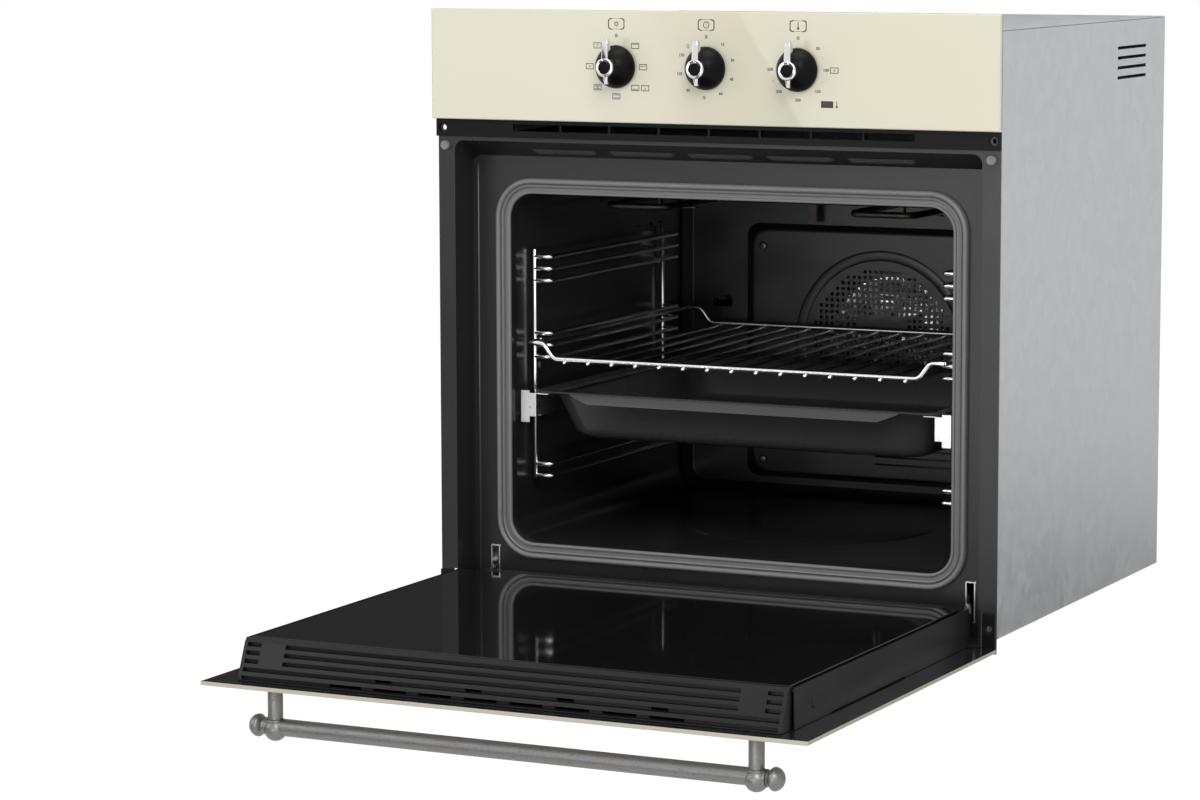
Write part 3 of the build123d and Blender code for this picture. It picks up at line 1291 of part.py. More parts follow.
def build():
    """Every piece of the oven, by name, as a function that makes it."""
    left, middle, right = knob_places()
    return {
        "control_panel": control_panel,
        "pilot_lens": pilot_lens,
        "panel_carrier": panel_carrier,
        "switch_rail": switch_rail,
        "selector_knob": lambda: knob(left),
        "selector_lever": lambda: lever(left),
        "timer_knob": lambda: knob(middle),
        "timer_lever": lambda: lever(middle),
        "thermostat_knob": lambda: knob(right),
        "thermostat_lever": lambda: lever(right),
        "switch_bodies": switch_bodies,
        "thermostat": thermostat,
        "front_frame": front_frame,
        "vent_trim": vent_trim,
        "base_trim": base_trim,
        "door_bumpers": bumpers,
        "door_gasket": door_gasket,
        "cavity": cavity,
        "fan_cover": fan_cover,
        "cavity_screws": cavity_screws,
        "grill_element": grill_element,
        "bottom_element": bottom_element,
        "ring_element": ring_element,
        "lamp_holder": lamp_holder,
        "lamp_glass": lamp_glass,
        "lamp_bulb": lamp_bulb,
        "side_racks": side_racks,
        "runners_fixed": runners_fixed,
        "runners_moving": runners_moving,
        "wire_shelf": wire_shelf,
        "deep_pan": deep_pan,
        "fan_impeller": impeller,
        "fan_shaft": fan_shaft,
        "fan_motor": fan_motor,
        "cooling_duct": cooling_duct,
        "cooling_rotor": cooling_rotor,
        "cooling_motor": cooling_motor,
        "insulation": insulation,
        "casing_sides": side_panels,
        "casing_top": top_panel,
        "casing_base": base_panel,
        "casing_back": back_panel,
        "terminal_block": terminal_block,
        "terminal_cover": terminal_cover,
        "case_screws": case_screws,
        "hinge_receivers": hinge_receivers,
        "hinge_arms": hinge_arms,
        "hinge_cassettes": hinge_cassettes,
        "hinge_springs": hinge_springs,
        "door_outer_glass": door_outer_glass,
        "door_middle_glass": door_middle_glass,
        "door_inner_glass": door_inner_glass,
        "door_sides": door_side_profiles,
        "door_vent_profile": door_vent_profile,
        "door_bottom_profile": door_bottom_profile,
        "glass_holders": glass_holders,
        "handle_bar": handle_bar,
        "handle_posts": handle_posts,
        "handle_finials": handle_finials,
        "handle_screws": handle_screws,
    }


def main():
    """Makes each piece and writes its file."""
    os.makedirs("parts", exist_ok=True)
    for name, make in build().items():
        export_step(make(), f"parts/{name}.step")


if __name__ == "__main__":
    main()
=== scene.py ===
"""A built-in oven with its drop-down door open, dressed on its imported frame."""
import json
import logging
import math
from collections.abc import Iterable, Sequence
from dataclasses import dataclass
from enum import Enum

import bmesh
import bpy
from mathutils import Matrix, Vector, noise


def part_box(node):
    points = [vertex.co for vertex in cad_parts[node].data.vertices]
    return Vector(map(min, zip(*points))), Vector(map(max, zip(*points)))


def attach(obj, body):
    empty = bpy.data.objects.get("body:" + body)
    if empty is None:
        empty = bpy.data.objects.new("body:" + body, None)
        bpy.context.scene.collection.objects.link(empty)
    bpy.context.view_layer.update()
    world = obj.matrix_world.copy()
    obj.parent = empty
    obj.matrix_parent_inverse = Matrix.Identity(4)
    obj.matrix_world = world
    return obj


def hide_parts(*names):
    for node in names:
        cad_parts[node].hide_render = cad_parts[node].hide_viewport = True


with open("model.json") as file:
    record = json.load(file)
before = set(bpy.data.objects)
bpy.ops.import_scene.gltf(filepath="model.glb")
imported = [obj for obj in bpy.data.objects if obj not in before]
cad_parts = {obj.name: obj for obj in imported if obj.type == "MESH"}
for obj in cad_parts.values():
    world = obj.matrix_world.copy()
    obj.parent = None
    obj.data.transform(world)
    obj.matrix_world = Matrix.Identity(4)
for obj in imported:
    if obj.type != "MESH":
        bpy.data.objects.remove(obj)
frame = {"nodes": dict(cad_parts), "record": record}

LOG = logging.getLogger("oven")
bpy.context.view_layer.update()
MM = 0.001
SAME_POINT = 1e-6           # points of the CAD's meshes that are closer, in metres, are one
FLAT = math.radians(0.5)    # faces that meet at a smaller angle are one flat face
TIP = 1e-6                  # a ring with a smaller radius, in millimetres, is a tip
CREASE = 35.0               # an edge with a larger angle, in degrees, is sharp or eased

Point = tuple[float, float, float]
Colour = tuple[float, float, float]
Profile = Sequence[tuple[float, float]]
Socket = bpy.types.NodeSocket


class Body(Enum):
    """The bodies that pieces ride on."""

    OVEN = "oven"
    DOOR = "door"
    SELECTOR = "selector"
    TIMER = "timer"
    THERMOSTAT = "thermostat_control"
    SHELF = "shelf"
    PAN = "pan"
    FAN = "fan"
    COOLING = "cooling_fan"


class Facing(Enum):
    """Where the Z axis of a turned or flat form points, as its own X, Y and Z axes."""

    UP = ((1, 0, 0), (0, 1, 0), (0, 0, 1))
    DOWN = ((1, 0, 0), (0, -1, 0), (0, 0, -1))
    FRONT = ((1, 0, 0), (0, 0, 1), (0, -1, 0))
    BACK = ((-1, 0, 0), (0, 0, 1), (0, 1, 0))
    RIGHT = ((0, 1, 0), (0, 0, 1), (1, 0, 0))
    LEFT = ((0, -1, 0), (0, 0, 1), (-1, 0, 0))

    def at(self, x: float, y: float, z: float) -> Matrix:
        """The matrix that puts a form there, in millimetres, with its Z axis this way."""
        axes = [Vector(axis) for axis in self.value]
        place = Matrix(axes).transposed().to_4x4()
        place.translation = (x, y, z)
        return place


INWARD = ((-1, Facing.RIGHT), (1, Facing.LEFT))     # on each side, towards the middle
OUTWARD = ((-1, Facing.LEFT), (1, Facing.RIGHT))    # on each side, away from the middle
METRES = Matrix.Scale(MM, 4)            # takes millimetres to metres
MILLIMETRES = Matrix.Scale(1 / MM, 4)   # takes metres to millimetres


def both(value: float) -> tuple[float, float]:
    """The same distance left and right of the oven's middle."""
    return -value, value


def box_of(node: str) -> tuple[Vector, Vector]:
    """The lowest and highest corners of a CAD node at rest, in millimetres."""
    low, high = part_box(node)
    return low / MM, high / MM


def circle(steps: int) -> list[float]:
    """Evenly spaced turns of one circle, in radians."""
    return [2 * math.pi * step / steps for step in range(steps)]


def round_pairs(loop: Sequence) -> list[tuple]:
    """Each item of a closed loop with the one after it."""
    return list(zip(loop, [*loop[1:], loop[0]]))


def linked(name: str, data: bpy.types.ID) -> bpy.types.Object:
    """A new object of the scene, with this data."""
    made = bpy.data.objects.new(name, data)
    bpy.context.scene.collection.objects.link(made)
    return made


def mesh_of(made: bpy.types.Object) -> bpy.types.Mesh:
    """The plain mesh that an object shows, with its modifiers at work."""
    bpy.context.view_layer.update()
    graph = bpy.context.evaluated_depsgraph_get()
    return bpy.data.meshes.new_from_object(made.evaluated_get(graph))


def new_node(tree: bpy.types.NodeTree, kind: str, inputs: dict[str | int, object],
             **settings: object) -> bpy.types.Node:
    """Adds a node to a tree.

    Args:
        tree: The tree.
        kind: The node's type.
        inputs: What its sockets take: a socket of another node, or a plain value.
        settings: Its other settings.

    Returns:
        The node.
    """
    node = tree.nodes.new(kind)
    for key, value in settings.items():
        setattr(node, key, value)
    for name, value in inputs.items():
        if isinstance(value, Socket):
            tree.links.new(value, node.inputs[name])
        else:
            node.inputs[name].default_value = value
    return node


def blank_material(name: str) -> bpy.types.Material:
    """A material with an empty node tree."""
    material = bpy.data.materials.new(name)
    material.use_nodes = True
    material.node_tree.nodes.clear()
    return material


# Finishes


class Recipe:
    """The node tree of one material while it is being put together."""

    def __init__(self, name: str) -> None:
        """Starts a material with one surface shader.

        Args:
            name: The material's name.
        """
        self.material = blank_material(name)
        self.surface = self.node("ShaderNodeBsdfPrincipled", {})
        self.node("ShaderNodeOutputMaterial", {"Surface": self.surface.outputs["BSDF"]})
        self.place = self.node("ShaderNodeTexCoord", {}).outputs["Object"]

    def node(self, kind: str, inputs: dict[str | int, object], **settings: object) -> bpy.types.Node:
        """Adds a node with these inputs and settings."""
        return new_node(self.material.node_tree, kind, inputs, **settings)

    def settle(self, values: dict[str, object]) -> None:
        """Writes plain values on the surface shader's sockets."""
        for socket, value in values.items():
            self.surface.inputs[socket].default_value = value

    def stretched(self, scale: Point) -> Socket:
        """Object coordinates that run faster or slower along each axis."""
        return self.node("ShaderNodeMapping", {"Scale": scale, "Vector": self.place}).outputs["Vector"]

    def noise(self, scale: float, detail: float = 3.0, at: Socket | None = None) -> Socket:
        """A cloudy value.

        Args:
            scale: Features for each metre.
            detail: How many finer layers it has.
            at: The coordinates it is read at, or None for the object's own.

        Returns:
            The socket that carries it, from 0 to 1.
        """
        inputs = {"Scale": scale, "Detail": detail, "Vector": at or self.place}
        return self.node("ShaderNodeTexNoise", inputs).outputs["Fac"]

    def cells(self, scale: float) -> Socket:
        """The tints of crystal-like cells, this many for each metre."""
        return self.node("ShaderNodeTexVoronoi", {"Scale": scale, "Vector": self.place}).outputs["Color"]

    def spread(self, value: Socket, low: float, high: float, start: float = 0.3, end: float = 0.7) -> Socket:
        """Stretches the part of a value between start and end to the range from low to high."""
        inputs = {"Value": value, "From Min": start, "From Max": end, "To Min": low, "To Max": high}
        return self.node("ShaderNodeMapRange", inputs).outputs["Result"]

    def blend(self, factor: Socket, first: Colour, second: Colour) -> Socket:
        """A colour that goes from the first to the second as the factor goes from 0 to 1."""
        node = self.node("ShaderNodeMix", {"Factor": factor}, data_type="RGBA")
        colours = [socket for socket in node.inputs if socket.type == "RGBA"]
        colours[0].default_value = (*first, 1.0)
        colours[1].default_value = (*second, 1.0)
        return [socket for socket in node.outputs if socket.type == "RGBA"][0]

    def join(self, value: Socket, socket: str) -> None:
        """Feeds a value that varies over the surface to a socket of the surface shader."""
        self.material.node_tree.links.new(value, self.surface.inputs[socket])

    def relief(self, height: Socket, depth: float, strength: float = 1.0) -> None:
        """Raises the surface by a value, with depth in metres."""
        bump = self.node("ShaderNodeBump", {"Distance": depth, "Strength": strength, "Height": height})
        self.join(bump.outputs["Normal"], "Normal")


def darker(colour: Colour, share: float) -> Colour:
    """The colour with this share of its light."""
    return tuple(channel * share for channel in colour)


def grey(light: float) -> Colour:
    """The colour that has this light in each channel."""
    return light, light, light


@dataclass(frozen=True)
class Finish:
    """A finish of the oven. Each kind of finish says in dress what its surface shows."""

    name: str
    slot: str
    colour: Colour
    roughness: float

    def material(self) -> bpy.types.Material:
        """The material of this finish, made on its first use."""
        made = bpy.data.materials.get("finish_" + self.name)
        if made is not None:
            return made
        recipe = Recipe("finish_" + self.name)
        recipe.settle({"Base Color": (*self.colour, 1.0), "Roughness": self.roughness})
        self.dress(recipe)
        recipe.material.diffuse_color = (*self.colour, 1.0)
        return recipe.material

    def dress(self, recipe: Recipe) -> None:
        """Adds the surface's own detail to the recipe."""


@dataclass(frozen=True)
class Moulded(Finish):
    """Plastic or rubber from a mould, with a fine grain."""

    grain: float = 1600.0
    depth: float = 0.00004
    shine: float = 0.5

    def dress(self, recipe: Recipe) -> None:
        """Grain in relief, and a surface that is a little more polished where hands go."""
        recipe.settle({"Specular IOR Level": self.shine})
        recipe.relief(recipe.noise(self.grain, 2.0), self.depth)
        rub = recipe.noise(22.0, 4.0)
        recipe.join(recipe.spread(rub, self.roughness * 0.85, min(1.0, self.roughness * 1.15)), "Roughness")
        recipe.join(recipe.blend(rub, darker(self.colour, 0.92), darker(self.colour, 1.08)), "Base Color")


@dataclass(frozen=True)
class Enamel(Finish):
    """Glassy enamel on sheet steel, with an orange-peel surface and fine pale specks."""

    speck: Colour = (0.09, 0.09, 0.1)
    speck_share: float = 0.5
    peel: float = 0.00012
    gloss: float = 0.5

    def dress(self, recipe: Recipe) -> None:
        """Specks in the colour, soft waves in relief, and cloudier gloss in places."""
        recipe.settle({"Specular IOR Level": self.gloss})
        specks = recipe.spread(recipe.noise(1500.0, 1.0), 0.0, self.speck_share, 0.64, 0.74)
        recipe.join(recipe.blend(specks, self.colour, self.speck), "Base Color")
        recipe.relief(recipe.noise(70.0, 2.0), self.peel, 0.5)
        cloud = recipe.noise(9.0, 5.0)
        recipe.join(recipe.spread(cloud, self.roughness * 0.88, self.roughness * 1.14), "Roughness")


EVEN = (1.0, 1.0, 1.0)
DRAWN_ALONG_X = (0.1, 1.0, 1.0)
DRAWN_ALONG_Y = (1.0, 0.1, 1.0)


@dataclass(frozen=True)
class BareMetal(Finish):
    """Metal with marks of drawing or brushing along one axis."""

    along: Point = EVEN
    streak: float = 500.0
    depth: float = 0.00001
    contrast: float = 0.12

    def dress(self, recipe: Recipe) -> None:
        """Streaks in relief and gloss, and a tint that wanders a little."""
        recipe.settle({"Metallic": 1.0})
        streaks = recipe.noise(self.streak, 3.0, recipe.stretched(self.along))
        haze = recipe.noise(30.0, 4.0)
        gloss = recipe.spread(streaks, self.roughness * (1 - 2 * self.contrast),
                              self.roughness * (1 + 2 * self.contrast))
        tint = recipe.blend(haze, darker(self.colour, 1 - self.contrast),
                            darker(self.colour, 1 + self.contrast))
        recipe.join(gloss, "Roughness")
        recipe.join(tint, "Base Color")
        recipe.relief(streaks, self.depth)


@dataclass(frozen=True)
class Zinc(Finish):
    """Galvanised sheet with its frost-like spangle."""

    spangle: float = 75.0

    def dress(self, recipe: Recipe) -> None:
        """Crystals of slightly different grey and gloss."""
        recipe.settle({"Metallic": 1.0})
        crystals = recipe.cells(self.spangle)
        tint = recipe.blend(crystals, darker(self.colour, 0.94), darker(self.colour, 1.04))
        gloss = recipe.spread(crystals, self.roughness * 0.92, self.roughness * 1.08, 0.0, 1.0)
        recipe.join(tint, "Base Color")
        recipe.join(gloss, "Roughness")
        recipe.relief(recipe.noise(800.0, 2.0), 0.00002, 0.5)


@dataclass(frozen=True)
class Pewter(Finish):
    """Aged pewter: a dull cast skin with darker pits and a fine brushed grain."""

    pit: Colour = (0.06, 0.06, 0.058)

    def dress(self, recipe: Recipe) -> None:
        """Dark pits in a brushed skin."""
        recipe.settle({"Metallic": 1.0})
        brushed = recipe.noise(900.0, 4.0, recipe.stretched((0.08, 1.0, 1.0)))
        pits = recipe.spread(recipe.noise(420.0, 4.0), 0.0, 0.55, 0.55, 0.8)
        recipe.join(recipe.blend(pits, self.colour, self.pit), "Base Color")
        recipe.join(recipe.spread(brushed, self.roughness * 0.8, self.roughness * 1.25), "Roughness")
        recipe.relief(brushed, 0.00004, 0.6)


@dataclass(frozen=True)
class CoatedGlass(Finish):
    """Glass with a fired or mirror coat behind it."""

    coat: float = 1.0
    gloss: float = 0.5
    ripple: float = 0.00001

    def dress(self, recipe: Recipe) -> None:
        """A colour under a clear polished coat with a very faint ripple."""
        recipe.settle({"Coat Weight": self.coat, "Coat Roughness": 0.02, "Specular IOR Level": self.gloss})
        cloud = recipe.noise(14.0, 3.0)
        tint = recipe.blend(cloud, darker(self.colour, 0.985), darker(self.colour, 1.015))
        recipe.join(tint, "Base Color")
        recipe.relief(recipe.noise(5.0, 1.0), self.ripple, 0.3)


@dataclass(frozen=True)
class ClearGlass(Finish):
    """Clear glass with a faint moulded waviness."""

    def dress(self, recipe: Recipe) -> None:
        """Lets light through, with slight waves."""
        recipe.settle({"Transmission Weight": 1.0, "IOR": 1.5})
        recipe.relief(recipe.noise(160.0, 2.0), 0.00005, 0.4)


@dataclass(frozen=True)
class Wool(Finish):
    """Mineral wool: matted fibres, darker in the hollows of their relief as painted shade."""

    def dress(self, recipe: Recipe) -> None:
        """Fibres in relief and in colour, from one noise, so the hollows are darker: fibre tone and painted
        shade.
        """
        fibres_and_shade = recipe.noise(700.0, 6.0, recipe.stretched((1.0, 0.3, 1.0)))
        recipe.join(recipe.blend(fibres_and_shade, darker(self.colour, 0.6), darker(self.colour, 1.2)), "Base Color")
        recipe.settle({"Sheen Weight": 0.3, "Specular IOR Level": 0.2})
        recipe.relief(fibres_and_shade, 0.0012)


@dataclass(frozen=True)
class Ink(Finish):
    """Printed or fired marks."""

    def dress(self, recipe: Recipe) -> None:
        """A slightly uneven print under a clear coat."""
        recipe.settle({"Coat Weight": 0.6, "Coat Roughness": 0.05})
        uneven = recipe.noise(2600.0, 2.0)
        recipe.join(recipe.blend(uneven, darker(self.colour, 0.8), darker(self.colour, 1.25)), "Base Color")


CREAM = CoatedGlass("cream_glass", "cream_glass", (0.624, 0.592, 0.453), 0.35, 1.0)
# Near-black plates in the door profile's air slots: painted shade of the openings.
SLOT_SHADE = Moulded("painted_slot_shade", "painted_black", grey(0.0008), 0.9, 1600.0, 0.00004, 0.0)
CREAM_EDGE = CoatedGlass("cream_edge", "cream_glass", (0.5, 0.46, 0.37), 0.3, 0.8)
PILOT = CoatedGlass("pilot_red", "pilot_red", (0.02, 0.004, 0.0035), 0.2, 0.2)
DARK_GLASS = CoatedGlass("dark_glass", "dark_glass", (0.0065, 0.0065, 0.007), 0.05, 0.0, 0.5)
WINDOW = CoatedGlass("door_window", "dark_glass", grey(0.006), 0.06, 0.0, 0.5)
BACK_PAINT = CoatedGlass("door_back_paint", "dark_glass", grey(0.012), 0.16, 0.0, 0.5)
KNOB_BLACK = Moulded("knob_black", "knob_black", grey(0.003), 0.36, 2400.0, 0.00001, 0.1)
BLACK_PLASTIC = Moulded("black_plastic", "black_plastic", grey(0.004), 0.42, 1600.0, 0.00004, 0.16)
SWITCH_BEIGE = Moulded("switch_beige", "switch_beige", (0.66, 0.6, 0.47), 0.45)
SEAL = Moulded("seal_grey", "seal_grey", grey(0.19), 0.36, 900.0, 0.00003)
FRAME_ENAMEL = Enamel("frame_enamel", "frame_enamel", (0.015, 0.015, 0.0154), 0.3, grey(0.03), 0.3)
# A lighter copy of the frame's enamel for its pressed beads and hoods: painted highlight.
HIGHLIGHT_ENAMEL = Enamel("painted_highlight_enamel", "frame_enamel", (0.06, 0.06, 0.061), 0.25, grey(0.08), 0.3)
CAVITY_ENAMEL = Enamel("black_enamel", "black_enamel", (0.016, 0.016, 0.0162), 0.24, grey(0.04), 0.3)
PAN_ENAMEL = Enamel("pan_enamel", "black_enamel", (0.044, 0.044, 0.0442), 0.26, grey(0.08), 0.3)
SATIN_BLACK = Enamel("painted_black", "painted_black", grey(0.007), 0.34, grey(0.02), 0.2, gloss=0.3)
CHROME = BareMetal("chrome", "chrome", (0.85, 0.85, 0.86), 0.19, EVEN, 300.0, 0.000002, 0.05)
RUNNER_STEEL = BareMetal("runner_steel", "chrome", grey(0.82), 0.3, DRAWN_ALONG_Y, 300.0, 0.000002, 0.05)
STEEL = BareMetal("steel", "steel", grey(0.5), 0.26, DRAWN_ALONG_X)
POLISHED = BareMetal("polished_chrome", "chrome", (0.74, 0.74, 0.75), 0.06, EVEN, 300.0, 0.000002, 0.05)
DARK_SCREW = BareMetal("dark_screw", "steel", grey(0.1), 0.4)
BLADE_METAL = BareMetal("blade_metal", "aluminium", grey(0.95), 0.45)
FAN_DISC = BareMetal("fan_disc", "aluminium", grey(0.5), 0.1)
ELEMENT = BareMetal("element_steel", "element_steel", (0.06, 0.055, 0.05), 0.42, EVEN, 260.0, 0.00004, 0.2)
ALUMINIUM = BareMetal("aluminium", "aluminium", (0.72, 0.72, 0.73), 0.24, DRAWN_ALONG_Y)
GALVANISED = Zinc("galvanised", "galvanised", (0.66, 0.67, 0.68), 0.4)
PEWTER = Pewter("pewter", "pewter", (0.22, 0.219, 0.217), 0.42)
CLEAR = ClearGlass("clear_glass", "clear_glass", (0.92, 0.95, 0.95), 0.03)
WOOL = Wool("mineral_wool", "mineral_wool", (0.5, 0.42, 0.26), 0.95)
INK = Ink("panel_ink", "cream_glass", grey(0.03), 0.4)

SLOT_FINISH = {finish.slot: finish for finish in (
    CREAM, PILOT, DARK_GLASS, KNOB_BLACK, BLACK_PLASTIC, SWITCH_BEIGE, SEAL, FRAME_ENAMEL, CAVITY_ENAMEL,
    SATIN_BLACK, CHROME, STEEL, ELEMENT, ALUMINIUM, GALVANISED, PEWTER, CLEAR, WOOL)}


# Mesh making


def rounded_path(points: Sequence[Point], bend: float, steps: int = 5) -> list[Vector]:
    """Rounds the corners of a wire's path.

    Args:
        points: The corners, with the two ends.
        bend: How far from each corner its arc starts.
        steps: Pieces of each arc.

    Returns:
        The points that the wire follows.
    """
    corners = [Vector(point) for point in points]
    path = [corners[0]]
    for before, corner, after in zip(corners, corners[1:], corners[2:]):
        to_before, to_after = before - corner, after - corner
        reach = min(bend, to_before.length * 0.49, to_after.length * 0.49)
        start = corner + to_before.normalized() * reach
        end = corner + to_after.normalized() * reach
        for step in range(steps + 1):
            share = step / steps
            path.append(start * (1 - share) ** 2 + corner * 2 * share * (1 - share) + end * share ** 2)
    path.append(corners[-1])
    return path


def rounded_loop(half_x: float, half_y: float, radius: float, steps: int = 6) -> list[Vector]:
    """A flat rectangle with round corners about the origin, turning left."""
    loop = []
    for quarter, (sx, sy) in enumerate(((1, 1), (-1, 1), (-1, -1), (1, -1))):
        for step in range(steps + 1):
            turn = math.pi / 2 * (quarter + step / steps)
            loop.append(Vector((sx * (half_x - radius) + radius * math.cos(turn),
                                sy * (half_y - radius) + radius * math.sin(turn), 0.0)))
    return loop


class Shape:
    """The faces of one piece, in millimetres, before they become an object."""

    def __init__(self) -> None:
        """Starts with no faces."""
        self.mesh = bmesh.new()

    def _face(self, corners: Sequence[bmesh.types.BMVert], paint: int) -> None:
        """Adds one face, unless its corners make none."""
        if len(set(corners)) > 2:
            face = self.mesh.faces.new(corners)
            face.material_index = paint

    def skin(self, loops: Sequence[Sequence[Point]], paint: int = 0, looped: bool = False) -> None:
        """Joins loops of equally many points, one after the other.

        Args:
            loops: The loops. A loop of one point is a tip.
            paint: Which of the piece's finishes it takes.
            looped: Joins the last loop to the first, where the ends are closed otherwise.
        """
        rings = [[self.mesh.verts.new(point) for point in loop] for loop in loops]
        if looped:
            rings.append(rings[0])
        for near, far in zip(rings, rings[1:]):
            count = max(len(near), len(far))
            for here in range(count):
                after = (here + 1) % count
                corners = [near[here % len(near)], near[after % len(near)],
                           far[after % len(far)], far[here % len(far)]]
                self._face(list(dict.fromkeys(corners)), paint)
        if not looped:
            for ring in (rings[0], rings[-1]):
                if len(ring) > 2:
                    self._face(ring, paint)

    def band(self, near: Sequence[bmesh.types.BMVert], far: Sequence[bmesh.types.BMVert]) -> None:
        """Adds the faces between two closed loops of equally many corners."""
        for (here, after), (there, beyond) in zip(round_pairs(near), round_pairs(far)):
            self.mesh.faces.new((here, after, beyond, there))

    def turned(self, profile: Profile, place: Matrix, steps: int = 48, paint: int = 0) -> None:
        """Turns a profile of radius and height about the place's Z axis."""
        loops = []
        for radius, height in profile:
            if radius < TIP:
                loops.append([place @ Vector((0.0, 0.0, height))])
                continue
            loops.append([place @ Vector((radius * math.cos(turn), radius * math.sin(turn), height))
                          for turn in circle(steps)])
        closed = profile[0] == profile[-1]
        self.skin(loops[:-1] if closed else loops, paint, looped=closed)

    def tube(self, points: Sequence[Point], radius: float, bend: float = 0.0, sides: int = 12,
             paint: int = 0) -> None:
        """A round wire along a path.

        Args:
            points: The corners of its path, with the two ends.
            radius: Its radius.
            bend: How far from each corner its arc starts, or 0 for none.
            sides: Flats round it.
            paint: Which of the piece's finishes it takes.
        """
        path = rounded_path(points, bend) if bend else [Vector(point) for point in points]
        tangents = [(after - before).normalized()
                    for before, after in zip([path[0], *path[:-1]], [*path[1:], path[-1]])]
        side = tangents[0].orthogonal().normalized()
        loops = []
        for point, tangent in zip(path, tangents):
            side = (side - tangent * side.dot(tangent)).normalized()
            up = tangent.cross(side)
            loops.append([point + (side * math.cos(turn) + up * math.sin(turn)) * radius
                          for turn in circle(sides)])
        first = self._eased_end(loops[0], path[0], -tangents[0] * radius)
        last = self._eased_end(loops[-1], path[-1], tangents[-1] * radius)
        self.skin([first, *loops, last], paint)

    @staticmethod
    def _eased_end(loop: Sequence[Vector], centre: Vector, outward: Vector) -> list[Vector]:
        """The smaller loop that rounds off the end of a wire."""
        return [centre + (point - centre) * 0.7 + outward * 0.3 for point in loop]

    def block(self, low: Point, high: Point, paint: int = 0) -> None:
        """A box between two corners."""
        outline = ((low[0], low[1]), (high[0], low[1]), (high[0], high[1]), (low[0], high[1]))
        self.skin([[(x, y, z) for x, y in outline] for z in (low[2], high[2])], paint)

    def plate(self, outline: Profile, place: Matrix, depth: float, paint: int = 0) -> None:
        """A flat outline that goes depth along the place's Z axis."""
        self.skin([[place @ Vector((x, y, level)) for x, y in outline] for level in (0.0, depth)], paint)

    def copy_of(self, node: str, merged: bool = True) -> None:
        """Adds the CAD node's own shape.

        Args:
            node: The node's name.
            merged: Merges the triangles of its flat faces.
        """
        source = bmesh.new()
        source.from_mesh(frame["nodes"][node].data)
        bmesh.ops.remove_doubles(source, verts=source.verts, dist=SAME_POINT)
        if merged:
            bmesh.ops.dissolve_limit(source, angle_limit=FLAT, verts=source.verts, edges=source.edges)
        source.transform(MILLIMETRES)
        data = bpy.data.meshes.new("copy")
        source.to_mesh(data)
        source.free()
        self.mesh.from_mesh(data)
        bpy.data.meshes.remove(data)

    def add_mesh(self, data: bpy.types.Mesh, place: Matrix, paint: int = 0) -> None:
        """Adds a made mesh, in the place's millimetres."""
        before = len(self.mesh.faces)
        data.transform(place)
        self.mesh.from_mesh(data)
        self.mesh.faces.ensure_lookup_table()
        for face in self.mesh.faces[before:]:
            face.material_index = paint
        bpy.data.meshes.remove(data)

    def object(self, name: str, finishes: Sequence[Finish], crease: float = CREASE,
               outward: bool = True) -> bpy.types.Object:
        """Makes the plain object, in metres and with its place in its mesh."""
        if outward:
            bmesh.ops.recalc_face_normals(self.mesh, faces=self.mesh.faces)
        self.mesh.transform(METRES)
        data = bpy.data.meshes.new(name)
        self.mesh.to_mesh(data)
        self.mesh.free()
        data.shade_smooth()
        data.set_sharp_from_angle(angle=math.radians(crease))
        for finish in finishes:
            data.materials.append(finish.material())
        return linked(name, data)

    def piece(self, name: str, finishes: Sequence[Finish], body: Body, stands_for: Sequence[str] = (),
              bevel: float = 0.0, crease: float = CREASE, outward: bool = True) -> None:
        """Makes the finished piece and puts it on its body.

        Args:
            name: The piece's name.
            finishes: Its finishes, one material for each, in order.
            body: The body it rides on.
            stands_for: CAD nodes that it replaces.
            bevel: Width of its eased edges in millimetres, or 0 for none.
            crease: Angle from which an edge is sharp or eased, in degrees.
            outward: Turns every face outwards first. A copy of a CAD node has them so already.
        """
        made = self.object(name, finishes, crease, outward)
        if bevel:
            ease_edges(made, bevel, crease)
        mount(made, finishes[0], body, stands_for)


def ease_edges(made: bpy.types.Object, width: float, crease: float) -> None:
    """Gives an object small round edges, and lets its flat faces stay flat in the light."""
    made.data.shade_smooth()
    eased = made.modifiers.new("eased_edges", "BEVEL")
    eased.width = width * MM
    eased.segments = 2
    eased.limit_method = "ANGLE"
    eased.angle_limit = math.radians(crease)
    eased.use_clamp_overlap = True
    eased.miter_outer = "MITER_ARC"
    flat = made.modifiers.new("flat_faces", "WEIGHTED_NORMAL")
    flat.weight = 100
    flat.keep_sharp = False


def mount(made: bpy.types.Object, finish: Finish, body: Body, stands_for: Sequence[str]) -> None:
    """Puts an object on its body and hides the CAD nodes that it replaces."""
    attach(made, body.value)
    if stands_for:
        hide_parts(*stands_for)
    LOG.info("%s: %d faces on %s", made.name, len(made.data.polygons), body.value)


def eased_copies(table: Iterable[tuple[str, Finish, float]], body: Body) -> None:
    """Makes an eased copy of each node in a table of names, finishes and bevels."""
    for node, finish, bevel in table:
        eased_copy(node, finish, body, bevel)


def eased_copy(node: str, finish: Finish, body: Body, bevel: float, merged: bool = True) -> None:
    """Makes a CAD node's own shape with eased edges, in its place.

    Args:
        node: The node that it replaces.
        finish: Its finish.
        body: The body it rides on.
        bevel: Width of its eased edges in millimetres.
        merged: Merges the triangles of its flat faces first.
    """
    shape = Shape()
    shape.copy_of(node, merged)
    shape.piece("eased_" + node, (finish,), body, (node,), bevel, outward=False)


# Node trees that repeat a form


